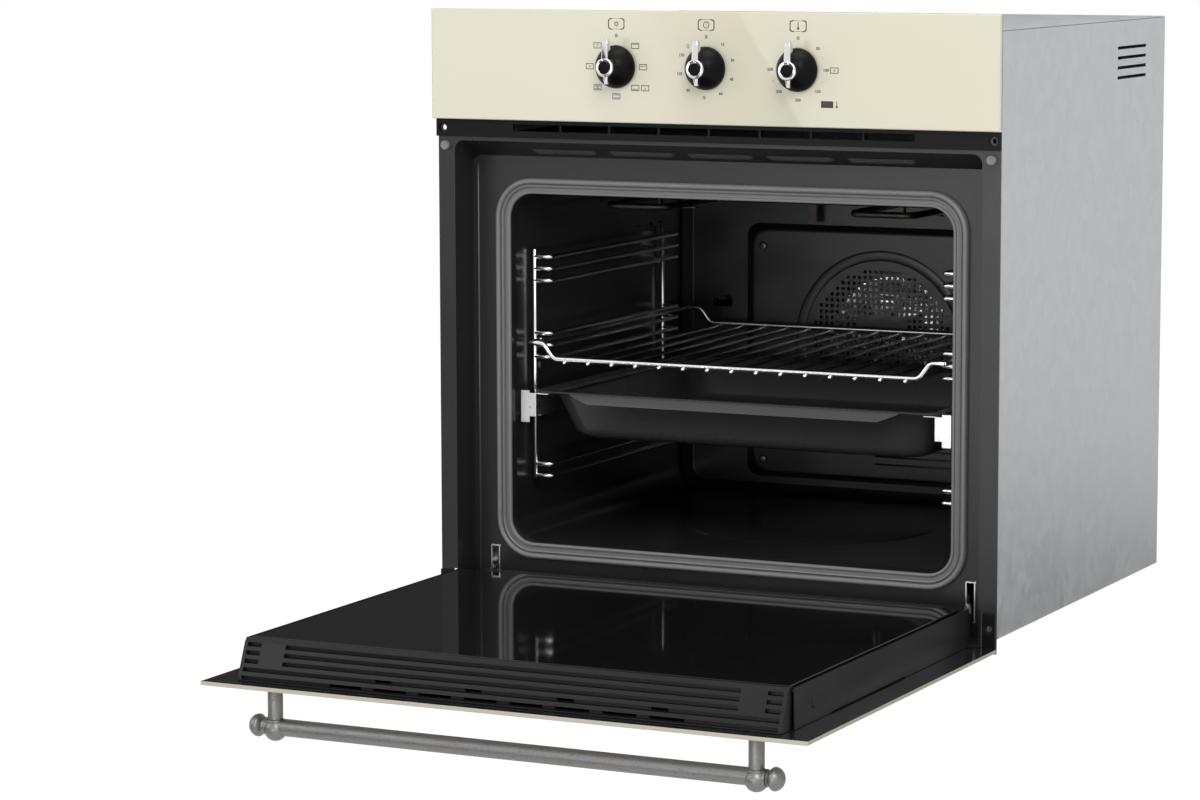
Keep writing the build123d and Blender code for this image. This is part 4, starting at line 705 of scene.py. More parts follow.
class Repeat:
    """A node tree that makes many of a form, with named inputs for its sizes."""

    def __init__(self, name: str, inputs: dict[str, str]) -> None:
        """Starts the tree.

        Args:
            name: The tree's name.
            inputs: Name of each input, with the short name of its kind, such as Float.
        """
        self.group = bpy.data.node_groups.new(name, "GeometryNodeTree")
        face = self.group.interface
        face.new_socket("Geometry", in_out="INPUT", socket_type="NodeSocketGeometry")
        self.keys = {}
        for label, kind in inputs.items():
            socket = face.new_socket(label, in_out="INPUT", socket_type="NodeSocket" + kind)
            self.keys[label] = socket.identifier
        face.new_socket("Geometry", in_out="OUTPUT", socket_type="NodeSocketGeometry")
        self.entry = self.add("NodeGroupInput", {})

    def add(self, kind: str, inputs: dict[str | int, object], **settings: object) -> bpy.types.Node:
        """Adds a node with these inputs and settings."""
        return new_node(self.group, kind, inputs, **settings)

    def given(self, label: str) -> Socket:
        """The socket of a named input."""
        return self.entry.outputs[label]

    def math(self, operation: str, *values: object) -> Socket:
        """A sum, product or comparison of sockets and numbers."""
        return self.add("ShaderNodeMath", dict(enumerate(values)), operation=operation).outputs[0]

    def copies(self, points: Socket, unit: Socket, **more: Socket) -> Socket:
        """Copies of a unit on points, with what more the node is given."""
        inputs = {"Points": points, "Instance": unit, **more}
        return self.add("GeometryNodeInstanceOnPoints", inputs).outputs["Instances"]

    def close(self, instances: Socket) -> None:
        """Makes the copies real, gives them the material input and ends the tree."""
        real = self.add("GeometryNodeRealizeInstances", {"Geometry": instances})
        dress = self.add("GeometryNodeSetMaterial", {"Geometry": real.outputs["Geometry"],
                                                     "Material": self.given("Material")})
        self.add("NodeGroupOutput", {"Geometry": dress.outputs["Geometry"]})

    def grow(self, unit: bpy.types.Object, values: dict[str, object]) -> bpy.types.Mesh:
        """Runs the tree on a unit and returns the plain mesh of the result.

        Args:
            unit: The object whose mesh is repeated. It is removed afterwards.
            values: Value of each named input.

        Returns:
            The mesh, in metres.
        """
        modifier = unit.modifiers.new(self.group.name, "NODES")
        modifier.node_group = self.group
        for label, value in values.items():
            modifier[self.keys[label]] = value
        data = mesh_of(unit)
        unit.modifiers.remove(modifier)
        bpy.data.objects.remove(unit)
        return data


def row_tree() -> Repeat:
    """A straight row: the unit repeated Count times, each a Step further."""
    tree = Repeat("straight_row", {"Count": "Int", "Step": "Vector", "Material": "Material"})
    line = tree.add("GeometryNodeMeshLine", {"Count": tree.given("Count"), "Offset": tree.given("Step")},
                    mode="OFFSET")
    tree.close(tree.copies(line.outputs["Mesh"], tree.given("Geometry")))
    return tree


def wheel_tree() -> Repeat:
    """A wheel: the unit repeated Count times round the Z axis."""
    tree = Repeat("round_wheel", {"Count": "Int", "Material": "Material"})
    line = tree.add("GeometryNodeMeshLine", {"Count": tree.given("Count"), "Offset": (0.0, 0.0, 0.0)},
                    mode="OFFSET")
    index = tree.add("GeometryNodeInputIndex", {})
    turn = tree.math("DIVIDE", tree.math("MULTIPLY", index.outputs[0], 2 * math.pi), tree.given("Count"))
    angles = tree.add("ShaderNodeCombineXYZ", {"Z": turn})
    tree.close(tree.copies(line.outputs["Mesh"], tree.given("Geometry"), Rotation=angles.outputs["Vector"]))
    return tree


def sieve_tree() -> Repeat:
    """A perforated field: the unit is a cell with its hole, and plain cells fill the square round it."""
    tree = Repeat("hole_field", {"Cells": "Int", "Pitch": "Float", "Field Radius": "Float",
                                 "Blank Half Width": "Float", "Blank Half Height": "Float",
                                 "Blank Height": "Float", "Material": "Material"})
    cells, pitch = tree.given("Cells"), tree.given("Pitch")
    size = tree.math("MULTIPLY", tree.math("SUBTRACT", cells, 1), pitch)
    grid = tree.add("GeometryNodeMeshGrid", {"Size X": size, "Size Y": size, "Vertices X": cells,
                                             "Vertices Y": cells})
    place = tree.add("GeometryNodeInputPosition", {}).outputs["Position"]
    parts = tree.add("ShaderNodeSeparateXYZ", {"Vector": place})
    length = tree.add("ShaderNodeVectorMath", {0: place}, operation="LENGTH")
    in_field = tree.math("LESS_THAN", length.outputs["Value"], tree.given("Field Radius"))
    from_middle = tree.math("ABSOLUTE", parts.outputs["X"])
    across = tree.math("LESS_THAN", from_middle, tree.given("Blank Half Width"))
    from_blank = tree.math("ABSOLUTE", tree.math("SUBTRACT", parts.outputs["Y"], tree.given("Blank Height")))
    level = tree.math("LESS_THAN", from_blank, tree.given("Blank Half Height"))
    outside_blank = tree.math("SUBTRACT", 1, tree.math("MULTIPLY", across, level))
    open_cell = tree.math("MULTIPLY", in_field, outside_blank)
    plain = tree.add("GeometryNodeMeshGrid", {"Size X": pitch, "Size Y": pitch, "Vertices X": 2,
                                              "Vertices Y": 2})
    joined = tree.add("GeometryNodeJoinGeometry", {})
    closed_cell = tree.math("SUBTRACT", 1, open_cell)
    for chosen, unit in ((open_cell, tree.given("Geometry")), (closed_cell, plain.outputs["Mesh"])):
        put = tree.copies(grid.outputs["Mesh"], unit, Selection=chosen)
        tree.group.links.new(put, joined.inputs["Geometry"])
    tree.close(joined.outputs["Geometry"])
    return tree


def places_tree() -> Repeat:
    """One copy of another object, Unit, at each point of the mesh."""
    tree = Repeat("set_places", {"Unit": "Object", "Material": "Material"})
    source = tree.add("GeometryNodeObjectInfo", {"Object": tree.given("Unit")})
    tree.close(tree.copies(tree.given("Geometry"), source.outputs["Geometry"]))
    return tree


@dataclass(frozen=True)
class Fastener:
    """A pan-head screw with a cross recess, pointing along its own Z axis."""

    head_r: float = 4.5
    head: float = 2.4
    shank_r: float = 2.0
    shank: float = 6.0
    finish: Finish = STEEL

    def unit(self) -> bpy.types.Object:
        """One screw, with its head below its Z plane."""
        shape = Shape()
        r, h = self.head_r, self.head
        shape.turned(((0.0, -h * 0.45), (r * 0.32, -h), (r * 0.55, -h * 0.98), (r * 0.85, -h * 0.75),
                      (r, -h * 0.25), (r, 0.0), (self.shank_r, 0.0), (self.shank_r, self.shank),
                      (0.0, self.shank + 1.0)), Matrix.Identity(4), 24)
        outline = ((r * 0.1, -r * 0.09, -h * 1.01), (r * 0.6, -r * 0.07, -h * 0.99),
                   (r * 0.6, r * 0.07, -h * 0.99), (r * 0.1, r * 0.09, -h * 1.01))
        for step in range(4):
            turn = Matrix.Rotation(step * math.pi / 2, 4, "Z")
            arm = [turn @ Vector(point) for point in outline]
            under = [point + Vector((0.0, 0.0, h * 0.2)) for point in arm]
            shape.skin([arm, under])
        return shape.object("screw_unit", (self.finish,))

    def at_places(self, name: str, places: Sequence[Point], facing: Facing, body: Body,
                  stands_for: Sequence[str] = (), extra: Shape | None = None) -> None:
        """Screws at these places, in millimetres.

        Args:
            name: The piece's name.
            places: Where the underside of each head sits.
            facing: Where the screws point.
            body: The body they ride on.
            stands_for: CAD nodes that they replace.
            extra: More faces of the same piece, or None.
        """
        turn = facing.at(0.0, 0.0, 0.0)
        back = turn.inverted()
        points = bpy.data.meshes.new("places")
        points.from_pydata([(back @ Vector(place)) * MM for place in places], [], [])
        holder = linked("places", points)
        unit = self.unit()
        data = places_tree().grow(holder, {"Unit": unit, "Material": self.finish.material()})
        bpy.data.objects.remove(unit)
        shape = extra or Shape()
        shape.add_mesh(data, turn @ MILLIMETRES)
        shape.piece(name, (self.finish,), body, stands_for, outward=False)


# The control panel


@dataclass
class Knob:
    """A black domed knob with a bright lever that stands over it."""

    name: str
    x: float
    body: Body
    face: float
    height: float
    skirt_r: float = 20.7
    dome: float = 17.5
    stand: float = 27.5
    hub_r: float = 9.1
    core_r: float = 5.9
    reach: float = 27.0

    def build(self) -> None:
        """Makes the knob and its lever."""
        self.cap()
        self.lever()

    def cap(self) -> None:
        """The domed skirt, with the core that shows inside the lever's hub."""
        place = Facing.FRONT.at(self.x, self.face, self.height)
        shape = Shape()
        r, top = self.skirt_r, self.dome
        core, stand = self.core_r, self.stand
        shape.turned(((0.0, 0.8), (r - 1.0, 0.8), (r - 0.2, 1.1), (r, 1.9), (r - 0.1, 3.4), (r - 0.8, 5.8),
                      (r - 2.2, 8.5), (r - 4.2, 11.2), (r - 6.8, 13.9), (r - 9.4, 16.0), (r - 11.0, 17.0),
                      (r - 11.8, top), (core, top), (core, stand - 0.1), (core - 0.5, stand + 0.4),
                      (core - 2.0, stand + 0.6), (0.0, stand + 0.6)), place, 72)
        shape.piece(self.name + "_dome", (KNOB_BLACK,), self.body, (self.name + "_knob",), crease=40.0)

    def lever(self) -> None:
        """The bright hub, the flat blade and the short pointer."""
        place = Facing.FRONT.at(self.x, self.face, self.height)
        shape = Shape()
        hub, core, low, high = self.hub_r, self.core_r + 0.1, self.dome + 0.1, self.stand
        shape.turned(((core, low), (hub - 0.3, low), (hub - 0.3, high - 3.4), (hub, high - 2.6),
                      (hub, high - 1.0), (hub - 0.5, high - 0.2), (hub - 1.1, high),
                      (core + 0.3, high - 0.2), (core, high - 0.8), (core, low)), place, 64)
        self.blade(shape, place)
        self.pointer(shape, place)
        shape.piece(self.name + "_handle", (POLISHED,), self.body, (self.name + "_lever",), bevel=0.25)

    def blade(self, shape: Shape, place: Matrix) -> None:
        """The lever's blade: a flat bar that narrows a little towards its round tip."""
        stations = ((5.5, 3.5, 18.6, 27.1), (14.0, 3.2, 18.7, 26.6), (22.0, 2.9, 18.9, 25.8),
                    (25.4, 2.6, 19.2, 25.3), (26.7, 2.1, 19.8, 24.7), (self.reach, 1.2, 20.8, 23.8))
        loops = []
        for up, half, low, high in stations:
            section = ((-half + 0.6, low), (half - 0.6, low), (half, low + 0.6), (half, high - 0.7),
                       (half - 0.7, high), (-half + 0.7, high), (-half, high - 0.7), (-half, low + 0.6))
            loops.append([place @ Vector((x, up, z)) for x, z in section])
        shape.skin(loops)

    def pointer(self, shape: Shape, place: Matrix) -> None:
        """The small wedge under the hub."""
        loops = []
        stations = ((5.5, 3.0, 19.0, 26.4), (11.0, 2.3, 19.6, 25.4), (16.0, 1.4, 20.6, 24.4))
        for down, half, low, high in stations:
            loops.append([place @ Vector((x, -down, z)) for x, z in
                          ((-half, low), (half, low), (half, high - 1.0), (0.0, high), (-half, high - 1.0))])
        shape.skin(loops)


class Print(Shape):
    """Fired marks on the panel's glass, drawn with strokes in the plane of its face."""

    def __init__(self, face: float) -> None:
        """Starts the print on a face at this place along Y."""
        super().__init__()
        self.face = face
        self.lift = 0.03

    def stroke(self, points: Profile, width: float, closed: bool = False) -> None:
        """Draws a line of this width through points of X and Z."""
        path = [Vector(point) for point in points]
        if closed:
            path.append(path[0])
        for start, end in zip(path, path[1:]):
            along = (end - start).normalized() * (width / 2)
            side = Vector((-along.y, along.x))
            corners = [start - along + side, start - along - side, end + along - side, end + along + side]
            self.fill([(corner.x, corner.y) for corner in corners])

    def fill(self, outline: Profile) -> None:
        """Fills an outline of X and Z."""
        self.plate(outline, Facing.FRONT.at(0.0, self.face, 0.0), self.lift)

    def dot(self, x: float, z: float, radius: float) -> None:
        """Fills a small disc."""
        self.fill([(x + radius * math.cos(turn), z + radius * math.sin(turn)) for turn in circle(12)])

    def arc(self, x: float, z: float, radius: float, start: float, end: float, width: float) -> None:
        """Draws part of a circle between two angles in degrees."""
        steps = 10
        turns = [math.radians(start + (end - start) * step / steps) for step in range(steps + 1)]
        self.stroke([(x + radius * math.cos(turn), z + radius * math.sin(turn)) for turn in turns], width)

    def number(self, text: str, x: float, z: float, size: float, bold: float) -> None:
        """Writes a number with its middle at this place, with strokes this much wider."""
        curve = bpy.data.curves.new("number", "FONT")
        curve.body = text
        curve.size = size
        curve.offset = bold
        curve.align_x = "CENTER"
        curve.align_y = "CENTER"
        curve.resolution_u = 2
        curve.extrude = self.lift / 2
        writing = linked("number", curve)
        data = mesh_of(writing)
        bpy.data.objects.remove(writing)
        self.add_mesh(data, Facing.FRONT.at(x, self.face - self.lift / 2, z))


class Pictogram(Enum):
    """What a function mark shows inside its frame."""

    LAMP = "lamp"
    TOP = "top heat"
    GRILL = "grill"
    BASE = "base heat"
    BOTH = "top and base heat"
    FAN = "fan"
    FAN_BOTH = "fan with top and base heat"
    THAW = "thaw"


@dataclass
class ControlPanel:
    """The glass panel, its print, the pilot lamp and the three knobs."""

    spacing: float = 95.0
    mark_r: float = 28.5
    mark_size: float = 3.9
    heading_up: float = 41.0
    line: float = 0.75
    thin_line: float = 0.4
    bold: float = 0.14

    def __post_init__(self) -> None:
        """Takes the panel's face and the height of its knobs and headings from the CAD."""
        low, high = box_of("control_panel")
        self.face = low.y
        self.middle = (low.z + high.z) / 2
        self.heading_z = self.middle + self.heading_up

    def build(self) -> None:
        """Makes every piece of the panel."""
        eased_copies((("control_panel", CREAM, 0.25), ("panel_carrier", BLACK_PLASTIC, 0.3),
                      ("pilot_lens", PILOT, 0.2)), Body.OVEN)
        self.print_marks()
        for name, x, body in (("selector", -self.spacing, Body.SELECTOR), ("timer", 0.0, Body.TIMER),
                              ("thermostat", self.spacing, Body.THERMOSTAT)):
            Knob(name, x, body, self.face, self.middle).build()

    def round_place(self, x: float, angle: float, reach: float | None = None) -> tuple[float, float]:
        """A place beside a knob, at a clockwise angle from the top in degrees."""
        turn = math.radians(angle)
        reach = self.mark_r if reach is None else reach
        return x + reach * math.sin(turn), self.middle + reach * math.cos(turn)

    def print_marks(self) -> None:
        """Draws the marks round the three knobs and beside the pilot lamp."""
        ink = Print(self.face)
        left, right = both(self.spacing)
        for x in (left, 0.0, right):
            self.heading(ink, x)
        self.sun(ink, left)
        self.clock(ink, 0.0)
        self.thermometer(ink, right, self.heading_z, 1.0)
        self.functions(ink, left)
        self.minutes(ink)
        self.degrees(ink, right)
        self.thermometer(ink, right + 39.7, self.middle - 32.0, 0.9)
        ink.piece("panel_marks", (INK,), Body.OVEN, crease=60.0)

    def heading(self, ink: Print, x: float) -> None:
        """The bracketed frame over a knob and the mark under it."""
        z = self.heading_z
        for side in (-1, 1):
            edge = x + side * 8.2
            ink.stroke([(edge - side * 3.2, z + 5.2), (edge - side * 0.6, z + 4.4), (edge, z + 3.0),
                        (edge, z - 3.0), (edge - side * 0.6, z - 4.4), (edge - side * 3.2, z - 5.2)], 1.1)
            ink.stroke([(x - 5.0, z + side * 5.0), (x + 5.0, z + side * 5.0)], 0.35)
        for side in (-1, 0, 1):
            ink.stroke([(x + side * 1.0, self.middle + 31.2), (x + side * 1.0, self.middle + 28.4)], 0.6)

    def sun(self, ink: Print, x: float) -> None:
        """A ring with short rays."""
        z = self.heading_z
        ink.arc(x, z, 1.5, 0.0, 360.0, self.line)
        for step in range(8):
            turn = math.radians(45 * step)
            ink.stroke([(x + reach * math.cos(turn), z + reach * math.sin(turn)) for reach in (2.3, 3.1)],
                       self.thin_line)

    def clock(self, ink: Print, x: float) -> None:
        """A dial with two hands."""
        z = self.heading_z
        ink.arc(x, z, 3.0, 0.0, 360.0, self.line)
        ink.stroke([(x, z + 2.0), (x, z), (x + 1.4, z - 0.8)], self.thin_line)

    def thermometer(self, ink: Print, x: float, z: float, size: float) -> None:
        """A stem with a bulb."""
        ink.stroke([(x, z + 3.2 * size), (x, z - 1.0 * size)], 0.9 * size)
        ink.dot(x, z - 2.2 * size, 1.3 * size)

    def functions(self, ink: Print, x: float) -> None:
        """The eight function marks round the selector."""
        for step, picture in enumerate((Pictogram.TOP, Pictogram.GRILL, Pictogram.BASE, Pictogram.BOTH,
                                        Pictogram.FAN_BOTH, Pictogram.FAN, Pictogram.LAMP), start=1):
            self.pictogram(ink, *self.round_place(x, 45.0 * step), picture)
        beside = self.round_place(x, 135.0)
        self.pictogram(ink, beside[0] + 10.5, beside[1], Pictogram.THAW)

    def pictogram(self, ink: Print, x: float, z: float, picture: Pictogram) -> None:
        """One framed function mark."""
        half, up = 3.9, 2.5
        ink.stroke([(x - half, z - up), (x + half, z - up), (x + half, z + up), (x - half, z + up)],
                   self.line, closed=True)
        left, right, top, base = x - 2.6, x + 2.6, z + 1.3, z - 1.3
        if picture in (Pictogram.TOP, Pictogram.BOTH, Pictogram.FAN_BOTH):
            ink.stroke([(left, top), (right, top)], 0.65)
        if picture in (Pictogram.BASE, Pictogram.BOTH, Pictogram.FAN_BOTH):
            ink.stroke([(left, base), (right, base)], 0.65)
        if picture is Pictogram.GRILL:
            ink.stroke([(left + 1.04 * step, top - step % 2 * 1.1) for step in range(6)], self.thin_line)
        if picture in (Pictogram.FAN, Pictogram.FAN_BOTH):
            for turn in (0.0, 120.0, 240.0):
                ink.arc(x + 0.5 * math.cos(math.radians(turn)), z + 0.5 * math.sin(math.radians(turn)),
                        0.6, turn, turn + 200.0, 0.35)
        if picture is Pictogram.LAMP:
            ink.arc(x, z + 0.3, 0.9, -60.0, 240.0, self.thin_line)
            ink.stroke([(x - 0.4, z - 1.1), (x + 0.4, z - 1.1)], self.thin_line)
        if picture is Pictogram.THAW:
            ink.dot(x, z - 0.6, 0.7)
            ink.dot(x, z + 1.2, 0.4)

    def minutes(self, ink: Print) -> None:
        """Minutes round the timer, and the mark for cooking without it."""
        for step in range(1, 9):
            ink.number(str(15 * step), *self.round_place(0.0, 36.9 * step), self.mark_size, self.bold)
        x, z = self.round_place(0.0, 318.0)
        ink.arc(x, z, 1.3, 0.0, 360.0, self.thin_line)
        ink.stroke([(x - 1.3, z - 2.0), (x + 1.3, z - 2.0)], self.thin_line)

    def degrees(self, ink: Print, x: float) -> None:
        """Degrees round the thermostat, with dots between them."""
        for angle, text in ((45.0, "50"), (90.0, "100"), (134.6, "150"), (180.0, "200"), (223.0, "230"),
                            (270.0, "250")):
            ink.number(text, *self.round_place(x, angle), self.mark_size, self.bold)
        for angle in (67.0, 114.5, 247.0):
            ink.dot(*self.round_place(x, angle, self.mark_r - 1.0), 0.45)
        self.pictogram(ink, *self.round_place(x, 90.0, 37.0), Pictogram.FAN)


# The frame and the mouth of the cavity


@dataclass
class FrontFrame:
    """The pressed frame that the door closes on, with its trims, seal, louvres and hinge seats."""

    louvres: int = 5
    louvre_pitch: float = 83.6
    louvre_length: float = 67.5
    seal_corner: float = 39.5
    hood_y: float = -241.5
    hood_z: float = 453.6
    roof_slope: float = 0.44
    bead_x: float = 271.4
    bead_r: float = 1.3
    bead_low: float = 14.0
    bead_high: float = 438.0
    face_y: float = -226.4

    def build(self) -> None:
        """Makes every piece of the frame."""
        eased_copies((("front_frame", FRAME_ENAMEL, 0.7), ("vent_trim", BLACK_PLASTIC, 0.4),
                      ("base_trim", BLACK_PLASTIC, 0.5), ("hinge_receivers", RUNNER_STEEL, 0.25),
                      ("hinge_arms", STEEL, 0.3)), Body.OVEN)
        self.bumpers()
        self.seal()
        self.beads()
        self.hoods()

    def bumpers(self) -> None:
        """Two soft buttons with a dimpled face."""
        low, high = box_of("door_bumpers")
        shape = Shape()
        wider = 0.3
        radius = (high.z - low.z) / 2 + wider
        depth = high.y - low.y
        profile = ((0.0, 0.0), (radius, 0.0), (radius, depth * 0.7), (radius - 0.6, depth * 0.95),
                   (radius - 1.4, depth), (radius - 2.4, depth * 0.92), (0.0, depth * 0.86))
        for side in (-1, 1):
            x = side * (high.x - radius + wider)
            shape.turned(profile, Facing.FRONT.at(x, high.y, (low.z + high.z) / 2), 32)
        shape.piece("bumper_buttons", (SEAL,), Body.OVEN, ("door_bumpers",))

    def seal(self) -> None:
        """The soft seal: a round bead outside and a thin lip towards the mouth."""
        low, high = box_of("door_gasket")
        back, front = high.y, low.y
        centre = Vector(((low.x + high.x) / 2, 0.0, (low.z + high.z) / 2))
        half_x, half_z = (high.x - low.x) / 2, (high.z - low.z) / 2
        depth = back - front
        section = ((0.0, 0.0), (0.0, 0.5), (0.5, 0.8), (1.6, 0.97), (2.9, 1.0), (4.3, 0.93), (5.2, 0.75),
                   (5.6, 0.4), (6.2, 0.38), (6.6, 0.68), (7.5, 0.76), (8.4, 0.7), (9.0, 0.4), (9.3, 0.12),
                   (12.6, 0.12), (13.0, 0.5), (14.4, 0.52), (15.4, 0.4), (15.6, 0.1), (12.0, 0.0))
        loops = []
        for inset, rise in section:
            place = Facing.FRONT.at(centre.x, back - rise * depth, centre.z)
            flat = rounded_loop(half_x - inset, half_z - inset, self.seal_corner - inset, 10)
            loops.append([place @ point for point in flat])
        shape = Shape()
        shape.skin(loops, looped=True)
        shape.piece("seal_bead", (SEAL,), Body.OVEN, ("door_gasket",), crease=50.0)

    def beads(self) -> None:
        """The fine upright beads pressed into the frame beside the door, in a lighter enamel that paints a
        highlight on them.
        """
        shape = Shape()
        for x in both(self.bead_x):
            shape.tube([(x, self.face_y, self.bead_low), (x, self.face_y, self.bead_high)], self.bead_r,
                       sides=14)
        shape.piece("frame_beads", (HIGHLIGHT_ENAMEL,), Body.OVEN, crease=60.0)

    def hoods(self) -> None:
        """Pressed hoods in the recess's sloping roof, one over each air slit, in a lighter enamel that
        paints a highlight on them.
        """
        half, y, z = self.louvre_length / 2, self.hood_y, self.hood_z
        loops = []
        for share, swell in ((-1.0, 0.1), (-0.93, 0.75), (-0.8, 1.0), (0.8, 1.0), (0.93, 0.75), (1.0, 0.1)):
            loops.append([(share * half, y + back, z + self.roof_slope * -back - drop * swell)
                          for back, drop in ((-4.0, 0.0), (-1.5, 1.3), (1.0, 2.0), (2.2, 1.9), (2.4, 0.0))])
        shape = Shape()
        shape.skin(loops)
        # A thin tube along each hood's lip, in the same lighter enamel, for a painted highlight line.
        shape.tube([(-half * 0.9, y + 2.4, z - 2.2), (half * 0.9, y + 2.4, z - 2.2)], 0.6, sides=8)
        unit = shape.object("hood_unit", (HIGHLIGHT_ENAMEL,))
        pitch = self.louvre_pitch * MM
        data = row_tree().grow(unit, {"Count": self.louvres, "Step": (pitch, 0.0, 0.0),
                                      "Material": HIGHLIGHT_ENAMEL.material()})
        row = Shape()
        start = -(self.louvres - 1) / 2 * self.louvre_pitch
        row.add_mesh(data, Matrix.Translation((start, 0.0, 0.0)) @ MILLIMETRES)
        row.piece("roof_hoods", (HIGHLIGHT_ENAMEL,), Body.OVEN)


# Inside the cavity


@dataclass
class Cavity:
    """The enamelled cavity, the fan's cover and what stands on its walls."""

    cell: float = 6.3
    hole: float = 3.5
    cells: int = 27
    field_r: float = 79.0
    blank_half_x: float = 26.5
    blank_half_z: float = 6.0
    blank_up: float = 22.0
    ring_r: float = 87.5
    ring_step: float = 0.8
    ring_rise: float = 0.85
    fan_y: float = 202.0
    fan_z: float = 230.0
    wall_x: float = 233.0
    studs_y: Sequence[float] = (-183.95, 116.05)
    studs_z: float = 234.0
    screws_x: float = 137.0
    screws_y: float = 171.7
    screws_z: Sequence[float] = (98.0, 329.0)
    element_r: float = 3.25
    lamp_at: Point = (176.0, 179.7, 376.0)

    def build(self) -> None:
        """Makes every piece of the cavity."""
        eased_copy("cavity", CAVITY_ENAMEL, Body.OVEN, 1.2)
        self.cover()
        self.pressings()
        self.elements()
        self.lamp()
        self.fan()

    def cover(self) -> None:
        """The fan's cover: a shallow tray with a ring pressed round a field of holes."""
        low, high = box_of("fan_cover")
        base, face = high.y, low.y + 0.8
        middle = (low.z + high.z) / 2
        half_x, half_z = (high.x - low.x) / 2, (high.z - low.z) / 2
        shape = Shape()
        rims = ((0.0, 0.0, 14.0, 0.0), (1.2, 0.8, 14.0, 0.5), (8.0, 5.0, 17.0, 7.2), (10.0, 6.5, 18.0, 7.9),
                (12.5, 8.5, 19.0, 8.0))
        loops = []
        for inset_x, inset_z, radius, rise in rims:
            place = Facing.FRONT.at(0.0, base - rise * (base - face) / rims[-1][-1], middle)
            flat = rounded_loop(half_x - inset_x, half_z - inset_z, radius, 6)
            loops.append([shape.mesh.verts.new(place @ point) for point in flat])
        for outer, inner in zip(loops, loops[1:]):
            shape.band(outer, inner)
        square = self.cell * self.cells / 2
        corners = [(-square, -square), (square, -square), (square, square), (-square, square)]
        hole = []
        for (x0, z0), (x1, z1) in round_pairs(corners):
            for step in range(self.cells):
                share = step / self.cells
                hole.append(shape.mesh.verts.new((x0 + (x1 - x0) * share, face,
                                                  self.fan_z + z0 + (z1 - z0) * share)))
        edges = [shape.mesh.edges.get(pair) for pair in round_pairs(loops[-1])]
        edges += [shape.mesh.edges.new(pair) for pair in round_pairs(hole)]
        bmesh.ops.triangle_fill(shape.mesh, edges=edges, use_beauty=True)
        place = Facing.FRONT.at(0.0, face, self.fan_z)
        shape.add_mesh(self.hole_field(), place @ MILLIMETRES)
        bmesh.ops.remove_doubles(shape.mesh, verts=shape.mesh.verts, dist=0.01)
        shape.turned(self.ring_profile(), place, 72)
        shape.piece("fan_cover_plate", (CAVITY_ENAMEL,), Body.OVEN, ("fan_cover",), crease=30.0)

    def ring_profile(self) -> list[tuple[float, float]]:
        """The section of the ring that is pressed round the field of holes."""
        steps, under = 14, -0.3
        bulge = [(self.ring_r + self.ring_step * step,
                  self.ring_rise * math.sin(math.pi * step / steps) ** 0.5) for step in range(steps + 1)]
        start, end = bulge[0][0], bulge[-1][0]
        return [(start, under), *bulge, (end, under), (start, under)]

    def hole_field(self) -> bpy.types.Mesh:
        """The square of cells, each with a square hole unless it lies outside the round field."""
        cell, hole = self.cell / 2, self.hole / 2
        unit = Shape()
        outer = [(cell, cell), (-cell, cell), (-cell, -cell), (cell, -cell)]
        inner = [(x / cell * hole, y / cell * hole) for x, y in outer]
        levels = [[unit.mesh.verts.new((x, y, z)) for x, y in ring]
                  for ring, z in ((outer, 0.0), (inner, 0.0), (inner, -1.0), (outer, -1.0))]
        for near, far in zip(levels, levels[1:]):
            unit.band(near, far)
        made = unit.object("cell_unit", (CAVITY_ENAMEL,), outward=False)
        return sieve_tree().grow(made, {
            "Cells": self.cells, "Pitch": self.cell * MM, "Field Radius": self.field_r * MM,
            "Blank Half Width": self.blank_half_x * MM, "Blank Half Height": self.blank_half_z * MM,
            "Blank Height": self.blank_up * MM, "Material": CAVITY_ENAMEL.material()})

    def pressings(self) -> None:
        """Low pressed forms in the floor and walls, the cover's screws and the racks' studs."""
        shape = Shape()
        floor = Facing.UP.at(0.0, -13.0, 62.0)
        shape.turned(((0.0, -0.5), (0.0, 1.2), (124.0, 1.2), (126.0, 0.85), (127.6, 0.35), (128.6, 0.05),
                      (129.2, -0.5), (0.0, -0.5)), floor, 96)
        dimple = ((0.0, 2.0), (1.6, 1.7), (2.9, 0.6), (3.3, -0.3), (0.0, -0.3))
        for y in (60.0, 92.0, 115.0):
            for side, facing in INWARD:
                shape.turned(dimple, facing.at(side * self.wall_x, y, 354.0), 20)
        for z in (100.0, 108.0, 116.0):
            shape.tube([(-6.0, 171.5, z), (110.0, 171.5, z)], 0.9, sides=8)
        shape.piece("wall_pressings", (CAVITY_ENAMEL,), Body.OVEN, crease=50.0)
        self.fasteners()

    def fasteners(self) -> None:
        """The cover's screws and the shouldered studs that the racks hang on."""
        studs = Shape()
        profile = ((0.0, -1.8), (2.5, -1.8), (2.5, 7.5), (5.2, 7.5), (6.0, 8.1), (6.0, 10.2),
                   (5.0, 11.0), (1.2, 11.0), (1.2, 10.2), (0.0, 10.2))
        for side, facing in INWARD:
            for y in self.studs_y:
                studs.turned(profile, facing.at(side * self.wall_x, y, self.studs_z), 32)
        places = [(x, self.screws_y, z) for x in both(self.screws_x) for z in self.screws_z]
        screw = Fastener(shank=5.0, finish=DARK_SCREW)
        screw.at_places("cavity_fasteners", places, Facing.BACK, Body.OVEN, ("cavity_screws",), studs)

    def elements(self) -> None:
        """The grill under the roof, the ring round the fan, and the element under the floor."""
        self.grill()
        self.ring()
        self.floor_element()

